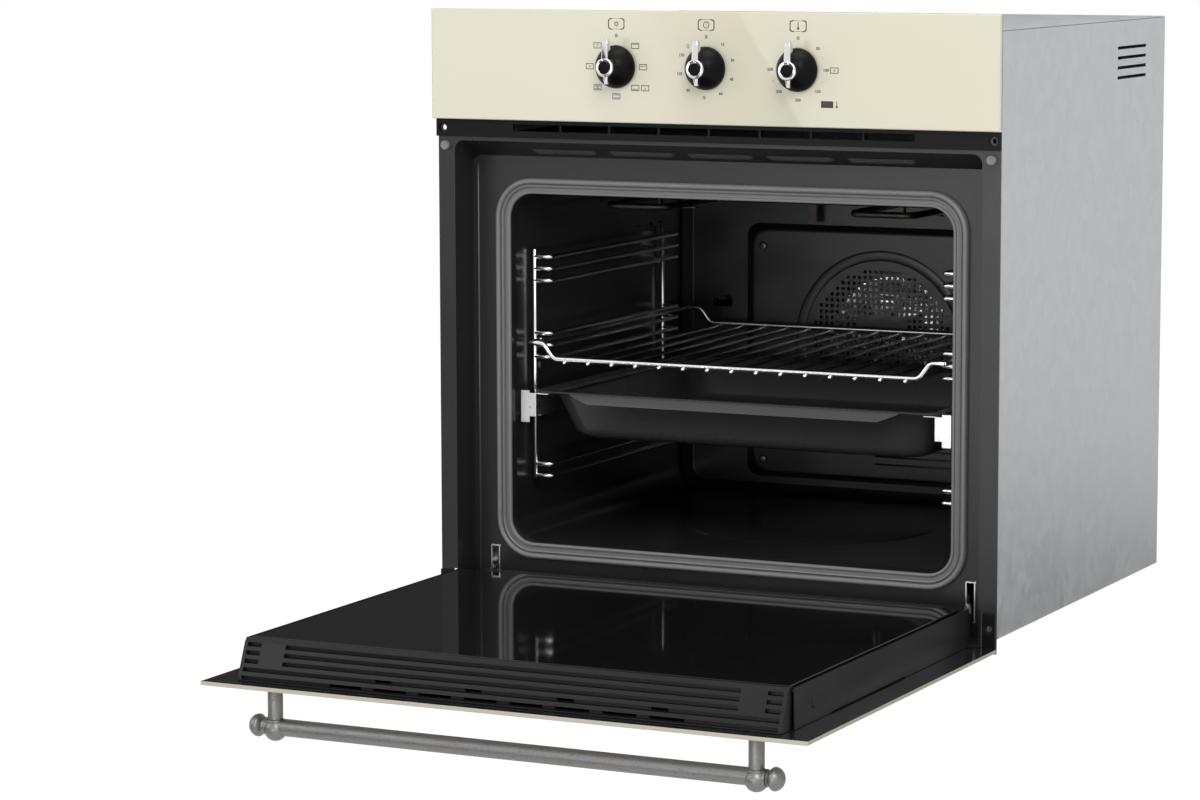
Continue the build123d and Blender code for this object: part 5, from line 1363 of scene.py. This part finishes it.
    def grill(self) -> None:
        """The grill's folded tube, with its two clips and its plate."""
        shape = Shape()
        z, near, far, end = 395.0, -156.0, 150.0, 192.0
        half, wide, leg = 33.0, 165.0, 99.0
        turn_back = far - 50.0
        shape.tube([(-half, end, z), (-half, far, z), (-wide, far, z), (-wide, near, z), (-leg, near, z),
                    (-leg, turn_back, z), (leg, turn_back, z), (leg, near, z), (wide, near, z),
                    (wide, far, z), (half, far, z), (half, end, z)], self.element_r, 16, 14)
        under, roof = z - self.element_r, 408.0
        clip_front, clip_back = -100.0, -92.0
        for x in both(132.0):
            shape.block((x - 40.0, clip_front, under - 1.5), (x + 40.0, clip_back, under - 0.3))
            shape.block((x - 1.0, clip_front, under - 1.0), (x + 1.0, clip_back, roof))
        shape.block((-82.5, 166.0, 355.0), (-73.5, 167.2, roof))
        shape.piece("grill_tube", (ELEMENT,), Body.OVEN, ("grill_element",))

    def ring(self) -> None:
        """The ring element, open at the bottom, with its ends through the back wall."""
        shape = Shape()
        radius, y, wall = 88.0, 192.0, 213.7
        first, sweep, steps = -78, 336, 48
        turns = [math.radians(first + step * sweep / steps) for step in range(steps + 1)]
        path = [(radius * math.cos(turn), y, self.fan_z + radius * math.sin(turn)) for turn in turns]
        (start_x, _, start_z), (end_x, _, end_z) = path[0], path[-1]
        shape.tube([(start_x, wall, start_z), *path, (end_x, wall, end_z)], self.element_r)
        shape.piece("ring_tube", (ELEMENT,), Body.OVEN, ("ring_element",))

    def floor_element(self) -> None:
        """The element under the cavity's floor."""
        shape = Shape()
        z, near, far, end = 57.45, -166.0, 120.0, 210.0
        half, wide = 25.0, 170.0
        shape.tube([(-half, end, z), (-half, far, z), (-wide, far, z), (-wide, near, z), (wide, near, z),
                    (wide, far, z), (half, far, z), (half, end, z)], self.element_r - 0.2, 20)
        shape.piece("base_tube", (ELEMENT,), Body.OVEN, ("bottom_element",))

    def lamp(self) -> None:
        """The lamp's domed glass with its rim, and the bulb behind it."""
        place = Facing.FRONT.at(*self.lamp_at)
        glass = Shape()
        glass.turned(((19.0, 0.0), (19.0, 3.4), (18.4, 4.2), (17.0, 5.2), (14.8, 9.2), (11.4, 12.4),
                      (6.0, 13.7), (0.0, 14.0), (0.0, 12.0), (5.6, 11.7), (10.4, 10.6), (13.4, 7.6),
                      (15.0, 0.0), (19.0, 0.0)), place, 56)
        glass.piece("lamp_dome", (CLEAR,), Body.OVEN, ("lamp_glass",))
        bulb = Shape()
        bulb.turned(((0.0, 3.0), (3.0, 2.7), (6.0, 0.9), (7.8, -3.0), (7.6, -7.0), (6.0, -10.5),
                     (6.0, -29.0), (0.0, -29.0)), place, 32)
        bulb.piece("lamp_filament_glass", (CLEAR,), Body.OVEN, ("lamp_bulb",))

    def fan(self) -> None:
        """The fan wheel: a dished disc with leaning blades, bright where it shows through the holes."""
        place = Facing.FRONT.at(0.0, self.fan_y, self.fan_z)
        wheel = Shape()
        wheel.turned(((3.1, -1.2), (68.0, -1.2), (68.2, -0.6), (68.0, 0.0), (20.0, 0.0), (12.0, 2.6),
                      (9.0, 6.0), (3.1, 6.0), (3.1, -1.2)), place, 64, paint=1)
        blade = Shape()
        section = ((0.0, 0.0), (1.2, 0.0), (1.2, 12.6), (0.0, 12.6))
        blade.skin([[(reach, y - 0.6 + lean, z) for y, z in section]
                    for reach, lean in ((24.0, 8.0), (66.0, 2.0))])
        unit = blade.object("blade_unit", (ALUMINIUM,))
        data = wheel_tree().grow(unit, {"Count": 10, "Material": ALUMINIUM.material()})
        wheel.add_mesh(data, place @ MILLIMETRES)
        wheel.piece("fan_wheel", (BLADE_METAL, FAN_DISC), Body.FAN, ("fan_impeller",), crease=30.0)


# Racks, shelf, runners and pan


@dataclass
class Racks:
    """The wire racks on the walls, the shelf, the runners and the deep pan."""

    wire_r: float = 2.25
    wall_x: float = 228.0
    rod_x: float = 210.0
    front: float = -189.0
    back: float = 111.0
    low: float = 120.5
    high: float = 351.0
    guides: Sequence[float] = (344.0, 332.0, 320.0, 267.0, 255.0, 243.0, 134.5, 122.5)
    shelf_r: float = 2.5
    bar_r: float = 1.75
    shelf_half: float = 221.0
    shelf_front: float = -213.0
    shelf_back: float = 162.0
    shelf_top: float = 260.05
    shelf_drop: float = 15.5
    crank_top: float = 206.5
    crank_low: float = 195.0
    bars: int = 15
    bar_pitch: float = 26.0

    def build(self) -> None:
        """Makes every piece in the cavity that can be taken out."""
        self.side_racks()
        self.shelf()
        eased_copy("runners_fixed", RUNNER_STEEL, Body.OVEN, 0.3)
        eased_copy("runners_moving", RUNNER_STEEL, Body.PAN, 0.35)
        self.pan()

    def side_racks(self) -> None:
        """Two uprights on each wall, with guides that bend inwards between them."""
        shape = Shape()
        for side in (-1, 1):
            wall, inner = side * self.wall_x, side * self.rod_x
            for y in (self.front, self.back):
                shape.tube([(wall, y, self.low), (wall, y, self.high)], self.wire_r, sides=14)
            for z in self.guides:
                shape.tube([(wall, self.front, z), (inner, self.front, z), (inner, self.back, z),
                            (wall, self.back, z)], self.wire_r, 6.0, 14)
        shape.piece("rack_wires", (CHROME,), Body.OVEN, ("side_racks",), crease=50.0)

    def shelf(self) -> None:
        """The shelf's frame, cranked down at the front and back, and the bars under it."""
        shape = Shape()
        top, low = self.shelf_top, self.shelf_top - self.shelf_drop
        for side in (-1, 1):
            x = side * self.shelf_half
            shape.tube([(x, self.shelf_front, top), (x, self.shelf_back, top)], self.shelf_r, sides=14)
        for y in (self.shelf_front, self.shelf_back):
            shape.tube([(-self.shelf_half, y, top), (-self.crank_top, y, top), (-self.crank_low, y, low),
                        (self.crank_low, y, low), (self.crank_top, y, top), (self.shelf_half, y, top)],
                       self.shelf_r, 5.0, 14)
        bar = Shape()
        weld, beyond = 1.2, 3.0
        height = low - self.shelf_r - self.bar_r + weld
        start = -(self.bars - 1) / 2 * self.bar_pitch
        bar.tube([(start, self.shelf_front - beyond, height), (start, self.shelf_back + beyond, height)],
                 self.bar_r)
        data = row_tree().grow(bar.object("bar_unit", (CHROME,)), {
            "Count": self.bars, "Step": (self.bar_pitch * MM, 0.0, 0.0), "Material": CHROME.material()})
        shape.add_mesh(data, MILLIMETRES)
        shape.piece("shelf_wires", (CHROME,), Body.SHELF, ("wire_shelf",), crease=50.0)

    def pan(self) -> None:
        """The deep pan: a rolled rim, soft sloping walls and a pouring lip at the front."""
        low, high = box_of("deep_pan")
        half, rim = high.x, high.z
        lip = 4.6
        front = low.y + lip
        middle_y, half_y = (front + high.y) / 2, (high.y - front) / 2
        shape = Shape()
        inner = ((10.5, 15.0, 1.3, 23.0), (12.3, 16.8, 2.0, 22.5), (13.8, 18.2, 4.5, 22.0),
                 (26.2, 28.9, 38.0, 22.0), (28.2, 30.8, 42.0, 21.5), (33.0, 35.4, 46.2, 20.0),
                 (42.5, 44.0, 49.1, 18.0), (56.0, 58.0, 49.3, 12.0))
        edge = ((2.0, 2.0, 2.6, 14.5), (0.6, 0.6, 2.0, 15.5), (0.0, 0.0, 1.0, 16.0), (0.5, 0.5, 0.3, 15.7),
                (1.8, 1.8, 0.0, 15.0), (3.0, 3.0, 0.4, 14.0), (4.4, 4.4, 1.2, 13.5))
        outer = [(in_x - 1.0, in_y - 1.0, drop + 1.0, radius + 1.0) for in_x, in_y, drop, radius in inner]
        loops = []
        for in_x, in_y, drop, radius in [*reversed(outer), *edge, *inner]:
            flat = rounded_loop(half - in_x, half_y - in_y, radius, 8)
            loops.append([(x, middle_y + y, rim - drop) for x, y, _ in flat])
        shape.skin(loops)
        self.pouring_lip(shape, front, rim)
        shape.piece("pan_bowl", (PAN_ENAMEL,), Body.PAN, ("deep_pan",), crease=50.0)

    def pouring_lip(self, shape: Shape, front: float, rim: float) -> None:
        """The turned-down apron along the pan's front rim."""
        loops = []
        for out, drop, half in ((1.0, 0.6, 176.0), (0.0, 1.4, 176.5), (-1.3, 3.0, 174.0), (-3.2, 7.0, 164.0),
                                (-4.4, 10.4, 155.0)):
            y, z = front + out, rim - drop
            loops.append([(-half, y, z), (half, y, z), (half, y + 1.1, z - 0.3), (-half, y + 1.1, z - 0.3)])
        shape.skin(loops)


# The casing


@dataclass
class Casing:
    """The galvanised casing, its screws and what it hides."""

    side_x: float = 272.0
    back_y: float = 262.5
    screw_low: float = 40.0
    screw_span: float = 500.0
    screw_rows: int = 4

    def build(self) -> None:
        """Makes the pieces of the casing."""
        for node in ("casing_sides", "casing_top", "casing_base", "casing_back", "cooling_duct",
                     "switch_rail"):
            eased_copy(node, GALVANISED, Body.OVEN, 0.3, merged=node != "casing_back")
        eased_copies((("terminal_cover", BLACK_PLASTIC, 0.6), ("terminal_block", SWITCH_BEIGE, 0.4),
                      ("switch_bodies", SWITCH_BEIGE, 0.5), ("fan_motor", STEEL, 0.5),
                      ("cooling_motor", STEEL, 0.5)), Body.OVEN)
        self.screws()
        self.blanket()

    def screws(self) -> None:
        """The screws that hold the casing's back to its sides."""
        pitch = self.screw_span / (self.screw_rows - 1)
        places = [(x, self.back_y, self.screw_low + pitch * row)
                  for x in both(self.side_x) for row in range(self.screw_rows)]
        screw = Fastener(head_r=4.0, head=2.0, shank_r=1.8)
        screw.at_places("casing_screws", places, Facing.FRONT, Body.OVEN, ("case_screws",))

    def blanket(self) -> None:
        """The wool round the cavity, with a matted, uneven surface."""
        shape = Shape()
        shape.copy_of("insulation")
        bmesh.ops.triangulate(shape.mesh, faces=shape.mesh.faces)
        longest, tuft, depth, sunk = 22.0, 0.05, 0.6, 0.6
        for _ in range(4):
            long_edges = [edge for edge in shape.mesh.edges if edge.calc_length() > longest]
            bmesh.ops.subdivide_edges(shape.mesh, edges=long_edges, cuts=1)
            bmesh.ops.triangulate(shape.mesh, faces=shape.mesh.faces)
        shape.mesh.normal_update()
        shifts = [(vert, vert.normal * (noise.noise(vert.co * tuft) - sunk) * depth)
                  for vert in shape.mesh.verts]
        for vert, shift in shifts:
            vert.co += shift
        shape.piece("wool_blanket", (WOOL,), Body.OVEN, ("insulation",), outward=False)


# The door


@dataclass
class Door:
    """The door: three glasses in black profiles, with its hinges."""

    ribs: int = 5
    rib_pitch: float = 7.15
    rib_gap: float = 3.6
    rib_depth: float = 3.4
    rib_slope: float = 16.0
    first_rib: float = 3.1
    block_from: float = 224.0
    block_to: float = 249.0
    slots: int = 8
    slot_pitch: float = 45.2
    slot_length: float = 32.6
    badge_y: float = -640.0
    badge_z: float = 18.0
    window_half: float = 205.0
    window_near: float = -640.0
    window_far: float = -400.0

    def build(self) -> None:
        """Makes every piece of the door but its handle."""
        self.outer_glass()
        eased_copies((("door_inner_glass", DARK_GLASS, 0.3), ("door_middle_glass", DARK_GLASS, 0.3),
                      ("door_sides", SATIN_BLACK, 0.35), ("door_bottom_profile", SATIN_BLACK, 0.3),
                      ("glass_holders", BLACK_PLASTIC, 0.4), ("hinge_cassettes", STEEL, 0.3)), Body.DOOR)
        self.vent_profile()
        self.springs()
        self.side_badges()

    def outer_glass(self) -> None:
        """The front glass: cream in front, dark behind, with a pale ground edge."""
        shape = Shape()
        shape.copy_of("door_outer_glass")
        shape.mesh.normal_update()
        level = 0.9
        for face in shape.mesh.faces:
            if face.normal.z > level:
                face.material_index = 1
            elif abs(face.normal.z) < level:
                face.material_index = 2
        shape.piece("door_front_glass", (CREAM, BACK_PAINT, CREAM_EDGE), Body.DOOR, ("door_outer_glass",),
                    bevel=0.2, outward=False)
        low, _ = box_of("door_outer_glass")
        window = Shape()
        middle = (self.window_near + self.window_far) / 2
        half = (self.window_far - self.window_near) / 2
        flat = rounded_loop(self.window_half, half, 14.0, 8)
        window.plate([(point.x, point.y) for point in flat], Facing.DOWN.at(0.0, middle, low.z), 0.04)
        window.piece("door_window", (WINDOW,), Body.DOOR)

    def vent_profile(self) -> None:
        """The louvred profile: ribs on a slope, two plain blocks across them, and near-black plates in the
        air slots as painted shade.
        """
        low, high = box_of("door_vent_profile")
        shape = Shape()
        half, inner = high.x, high.x - 3.5
        left_end = [(-half, 0), (-inner, 0), (-inner, self.ribs)]
        left_block = [(-self.block_to, self.ribs), (-self.block_to, 2), (-self.block_from, 2),
                      (-self.block_from, self.ribs)]
        left = left_end + left_block
        stations = left + [(-x, grooves) for x, grooves in reversed(left)]
        shape.skin([self.ribbed_section(x, low, high, grooves) for x, grooves in stations])
        # The plates in the lowest two grooves stand in for the shade inside the air slots.
        for row in range(2):
            z = low.z + self.first_rib + row * self.rib_pitch
            y = low.y + 3.2 + (z - low.z) * self.rib_slope / (high.z - low.z)
            for place in range(row, self.slots, row + 1):
                start = (place - (self.slots - 1) / 2) * self.slot_pitch - self.slot_length / 2
                end = start + self.slot_length / (row + 1)
                shape.block((start, y, z - 1.5), (end, y + 1.0, z + 1.5), 1)
        shape.piece("louvred_profile", (SATIN_BLACK, SLOT_SHADE), Body.DOOR, ("door_vent_profile",),
                    bevel=0.25)

    def ribbed_section(self, x: float, low: Vector, high: Vector, grooves: int) -> list[Point]:
        """The profile's section at one place across.

        Args:
            x: The place across.
            low: The lower corner of the profile's box.
            high: The upper corner of the profile's box.
            grooves: How many of the grooves are open there, from the lowest up.

        Returns:
            The section's corners.
        """
        slope = self.rib_slope / (high.z - low.z)
        corners = [(x, low.y, low.z)]
        for row in range(self.ribs):
            z = low.z + self.first_rib + row * self.rib_pitch
            for level in (z - self.rib_gap / 2, z + self.rib_gap / 2):
                face_y = low.y + max(level - low.z - 3.0, 0.0) * slope
                floor_y = low.y + self.rib_depth + (z - low.z) * slope if row < grooves else face_y
                pair = [(x, face_y, level), (x, floor_y, level)]
                corners += pair if level < z else pair[::-1]
        top = low.y + self.rib_slope
        corners += [(x, top - 0.6, high.z - 0.6), (x, top, high.z), (x, high.y, high.z), (x, high.y, low.z)]
        return corners

    def springs(self) -> None:
        """The coiled balance springs and their rods."""
        low, high = box_of("hinge_springs")
        shape = Shape()
        radius = (high.z - low.z) / 2
        z = (low.z + high.z) / 2
        coil_r, rounds, steps, pitch = radius - 1.0, 26, 12, 3.4
        turns = [2 * math.pi * step / steps for step in range(rounds * steps)]
        for x in both(high.x - radius):
            coil = [(x + coil_r * math.cos(turn), low.y + 10.0 + pitch * turn / (2 * math.pi),
                     z + coil_r * math.sin(turn)) for turn in turns]
            shape.tube(coil, 0.85, sides=6)
            shape.tube([(x, low.y, z), (x, high.y, z)], 1.6, sides=10)
        shape.piece("spring_coils", (STEEL,), Body.DOOR, ("hinge_springs",), crease=60.0)

    def side_badges(self) -> None:
        """The small pressed oval on each side of the door."""
        _, high = box_of("door_sides")
        shape = Shape()
        oval = Matrix.Diagonal((2.3, 4.9, 1.0, 1.0))
        profile = ((0.0, 0.3), (0.62, 0.3), (0.78, 0.6), (0.95, 0.55), (1.05, -0.2), (0.0, -0.2))
        for side, facing in OUTWARD:
            place = facing.at(side * (high.x - 0.6), self.badge_y, self.badge_z)
            shape.turned(profile, place @ oval, 32)
        shape.piece("side_ovals", (SATIN_BLACK,), Body.DOOR, crease=50.0)


@dataclass
class Handle:
    """The pewter handle under the open door: bar, posts with ball joints, and turned ends."""

    post_x: float = 237.25
    nearer: float = 1.8
    drop: float = 2.2
    bar_r: float = 7.9
    post_r: float = 7.0
    ball_r: float = 10.8
    foot: float = -3.0

    def __post_init__(self) -> None:
        """Takes the bar's axis and reach from the CAD, and moves the axis nearer to the door."""
        low, high = box_of("handle_bar")
        self.y, self.z = (low.y + high.y) / 2, (low.z + high.z) / 2 + self.nearer
        self.reach = high.x

    def build(self) -> None:
        """Makes the handle's pieces."""
        self.bar()
        self.posts()
        self.finials()

    def bar(self) -> None:
        """The round bar between the balls."""
        shape = Shape()
        reach, radius = self.reach, self.bar_r
        shape.turned(((0.0, -reach), (radius, -reach), (radius, 0.0), (radius, reach), (0.0, reach)),
                     Facing.RIGHT.at(0.0, self.y, self.z), 48)
        shape.piece("handle_tube", (PEWTER,), Body.DOOR, ("handle_bar",))

    def posts(self) -> None:
        """The posts, each with a ball that hangs a little under the bar's axis and a collar over it."""
        shape = Shape()
        ball, post = self.ball_r, self.post_r
        middle = self.z - self.drop
        length = self.foot - middle
        turns = [math.radians(angle) for angle in range(0, 131, 10)]
        arc = [(ball * math.sin(turn), -ball * math.cos(turn)) for turn in turns]
        top = arc[-1][1]
        profile = [(0.0, arc[0][1]), *arc[1:], (post + 1.6, top + 0.5), (post + 1.7, top + 1.3),
                   (post + 1.3, top + 2.1), (post, top + 2.6), (post, length - 0.6), (post - 0.4, length),
                   (0.0, length)]
        for side in (-1, 1):
            shape.turned(profile, Facing.UP.at(side * self.post_x, self.y, middle), 48)
        shape.piece("handle_uprights", (PEWTER,), Body.DOOR, ("handle_posts",), crease=50.0)

    def finials(self) -> None:
        """The mushroom ends: a narrow neck, a ring and a domed cap."""
        shape = Shape()
        profile = ((0.0, 0.0), (7.2, 0.0), (7.6, 0.8), (6.8, 1.8), (6.0, 2.6), (6.8, 3.3), (9.4, 4.2),
                   (10.3, 5.6), (10.5, 7.2), (10.1, 9.0), (8.9, 11.2), (6.8, 13.4), (3.8, 14.9), (0.0, 15.5))
        for side, facing in reversed(OUTWARD):
            shape.turned(profile, facing.at(side * (self.reach + 0.3), self.y, self.z), 48)
        shape.piece("handle_ends", (PEWTER,), Body.DOOR, ("handle_finials",), crease=50.0)


# The studio


WHITE = (1.0, 1.0, 1.0, 1.0)


@dataclass
class Card:
    """A studio card that only reflections see."""

    name: str
    corners: Sequence[Point]
    light: float
    fade: float | None = None
    fade_from: float = 0.6

    def build(self) -> None:
        """Hangs the card. Its light goes to fade, where that is given, at its end along X."""
        data = bpy.data.meshes.new(self.name)
        data.from_pydata(list(self.corners), [], [tuple(range(len(self.corners)))])
        material = blank_material(self.name)
        tree = material.node_tree
        strength = self.light
        if self.fade is not None:
            place = new_node(tree, "ShaderNodeTexCoord", {}).outputs["Generated"]
            along = new_node(tree, "ShaderNodeSeparateXYZ", {"Vector": place}).outputs["X"]
            ends = {"Value": along, "From Min": self.fade_from, "To Min": self.light, "To Max": self.fade}
            fall = new_node(tree, "ShaderNodeMapRange", ends, interpolation_type="SMOOTHSTEP")
            strength = fall.outputs["Result"]
        glow = new_node(tree, "ShaderNodeEmission", {"Color": WHITE, "Strength": strength})
        new_node(tree, "ShaderNodeOutputMaterial", {"Surface": glow.outputs["Emission"]})
        data.materials.append(material)
        card = linked(self.name, data)
        for sight in ("camera", "diffuse", "shadow", "transmission", "volume_scatter"):
            setattr(card, "visible_" + sight, False)


@dataclass
class Studio:
    """Floor, light and camera."""

    floor_z: float = -0.34
    floor_half: float = 14.0
    floor_light: float = 1.09
    floor_white: float = 0.88
    even_light: float = 0.5
    cards_y: float = -3.274
    cards_low: float = -0.333
    cards_high: float = 2.0
    split_low: float = -0.791
    split_high: float = -2.255
    camera_at: Point = (1.55386, -3.65387, 0.69717)
    yaw: float = -0.4583
    pitch: float = -0.1273
    roll: float = -0.0028
    lens: float = 116.98

    def build(self) -> None:
        """Sets the studio up."""
        self.floor()
        self.world()
        self.lamps()
        self.cards()
        self.side_cards()
        self.camera()

    def background_rays(self, tree: bpy.types.NodeTree) -> Socket:
        """A socket that is 1 for what the camera sees, directly or in metal and glass."""
        path = new_node(tree, "ShaderNodeLightPath", {})
        total = path.outputs["Is Camera Ray"]
        for kind in ("Is Glossy Ray", "Is Transmission Ray"):
            larger = new_node(tree, "ShaderNodeMath", {0: total, 1: path.outputs[kind]}, operation="MAXIMUM")
            total = larger.outputs[0]
        return total

    def floor(self) -> None:
        """A plain pale floor that keeps the oven's soft shadow."""
        half = self.floor_half
        outline = ((-half, -half), (half, -half), (half, half), (-half, half))
        data = bpy.data.meshes.new("floor")
        data.from_pydata([(x, y, self.floor_z) for x, y in outline], [], [(0, 1, 2, 3)])
        material = blank_material("floor_paper")
        tree = material.node_tree
        paper = new_node(tree, "ShaderNodeBsdfDiffuse", {"Color": (0.92, 0.92, 0.92, 1.0)})
        glow = new_node(tree, "ShaderNodeEmission", {"Strength": self.floor_light})
        share = new_node(tree, "ShaderNodeMath", {0: self.background_rays(tree), 1: self.floor_white},
                         operation="MULTIPLY")
        mix = new_node(tree, "ShaderNodeMixShader", {"Fac": share.outputs[0], 1: paper.outputs["BSDF"],
                                                     2: glow.outputs["Emission"]})
        new_node(tree, "ShaderNodeOutputMaterial", {"Surface": mix.outputs["Shader"]})
        data.materials.append(material)
        linked("floor", data)

    def world(self) -> None:
        """White round the oven for the camera, and a lower even light for the rest."""
        world = bpy.data.worlds.new("studio")
        bpy.context.scene.world = world
        world.use_nodes = True
        tree = world.node_tree
        tree.nodes.clear()
        even = new_node(tree, "ShaderNodeBackground", {"Color": (0.98, 0.99, 1.0, 1.0),
                                                       "Strength": self.even_light})
        white = new_node(tree, "ShaderNodeBackground", {"Color": WHITE, "Strength": 1.0})
        mix = new_node(tree, "ShaderNodeMixShader", {"Fac": self.background_rays(tree),
                                                     1: even.outputs["Background"],
                                                     2: white.outputs["Background"]})
        new_node(tree, "ShaderNodeOutputWorld", {"Surface": mix.outputs["Shader"]})

    def lamp(self, name: str, place: Point, aim: Point, size: float, power: float) -> None:
        """One soft box."""
        data = bpy.data.lights.new(name, "AREA")
        data.shape = "SQUARE"
        data.size = size
        data.energy = power
        lamp = linked(name, data)
        lamp.location = place
        lamp.rotation_euler = (Vector(aim) - Vector(place)).to_track_quat("-Z", "Y").to_euler()

    def lamps(self) -> None:
        """A large key box over the front right, a fill on the left and a top box."""
        aim = (0.0, -0.2, 0.3)
        self.lamp("key_box", (1.6, -3.0, 2.4), aim, 1.8, 60.0)
        self.lamp("fill_box", (-2.6, -2.6, 1.4), aim, 1.6, 22.0)
        self.lamp("top_box", (0.2, -0.4, 2.8), aim, 1.6, 26.0)

    def split(self, level: float) -> float:
        """Where the dim and the bright cards in front meet, at this height."""
        slant = (self.split_high - self.split_low) / (self.cards_high - self.cards_low)
        return self.split_low + slant * (level - self.cards_low)

    def cards(self) -> None:
        """Cards in front that give glass and enamel their depth: dim on the left, bright on the right."""
        low, high, near = self.cards_low, self.cards_high, self.cards_y
        front = near + 0.01
        split = self.split
        step, under, over = 0.27, 0.285, 0.53
        left, right = -5.6, 1.1
        for name, y, outline, light, fade in (
                ("left_card", near, [(split(low), low), (split(high), high), (left, high), (left, low)],
                 0.05, None),
                ("upper_right_card", near, [(split(step), step), (right, step), (right, high),
                                            (split(high), high)], 0.95, None),
                ("lower_right_card", near, [(split(low), low), (right, low), (right, step),
                                            (split(step), step)], 3.6, None),
                ("panel_left_card", front, [(split(under), under), (split(over), over), (-2.3, over),
                                            (-2.3, under)], 3.1, 0.0),
                ("panel_right_card", front, [(split(under), under), (-0.6, under), (-0.6, over),
                                             (split(over), over)], 2.2, None),
                ("fan_card", front, [(-1.51, -0.15), (-1.31, -0.158), (-1.33, -0.11), (-1.42, -0.07),
                                     (-1.47, -0.12)], 20.0, None)):
            Card(name, [(x, y, z) for x, z in outline], light, fade).build()

    def side_cards(self) -> None:
        """Cards on the floor, behind and on the right, for the metal and the enamel that face them."""
        low, back_high, right_high = self.cards_low, 1.9, 2.6
        for name, corners, light in (
                ("floor_right_card", [(0.5, 0.4, low), (1.7, 0.4, low), (1.7, 2.4, low), (0.5, 2.4, low)],
                 0.05),
                ("floor_card", [(self.split_low, self.cards_y, low), (-4.5, self.cards_y, low),
                                (-4.5, -0.6, low), (0.2, -1.2, low)], 0.5),
                ("back_left_card", [(-4.2, 1.2, low), (-4.2, 1.2, back_high), (0.6, 3.4, back_high),
                                    (0.6, 3.4, low)], 0.05),
                ("right_card", [(0.65, 3.4, low), (0.65, 3.4, right_high), (4.4, -0.6, right_high),
                                (4.4, -0.6, low)], 0.75)):
            Card(name, corners, light).build()

    def camera(self) -> None:
        """The camera, where the photograph was taken from."""
        data = bpy.data.cameras.new("camera")
        data.sensor_fit = "HORIZONTAL"
        data.sensor_width = 36.0
        data.lens = self.lens
        data.clip_end = 100.0
        data.dof.use_dof = False
        camera = linked("camera", data)
        turn = (Matrix.Rotation(-self.yaw, 4, "Z") @ Matrix.Rotation(math.pi / 2 + self.pitch, 4, "X")
                @ Matrix.Rotation(self.roll, 4, "Z"))
        camera.matrix_world = Matrix.Translation(self.camera_at) @ turn
        bpy.context.scene.camera = camera
        bpy.context.scene.view_settings.view_transform = "Standard"


def dress_nodes(subparts: Iterable[dict[str, object]]) -> None:
    """Gives each CAD node the finish of its slot, also where a piece replaces it."""
    for part in subparts:
        node = frame["nodes"][part["node"]]
        node.data.materials.clear()
        node.data.materials.append(SLOT_FINISH[part["material_slot"]].material())


def main() -> None:
    """Builds the oven's sub-assemblies in order, and then the studio."""
    logging.basicConfig(level=logging.INFO, format="%(name)s: %(message)s")
    dress_nodes(frame["record"]["subparts"])
    for assembly in (ControlPanel(), FrontFrame(), Cavity(), Racks(), Casing(), Door(), Handle(), Studio()):
        LOG.info("building %s", type(assembly).__name__)
        assembly.build()


if __name__ == "__main__":
    main()
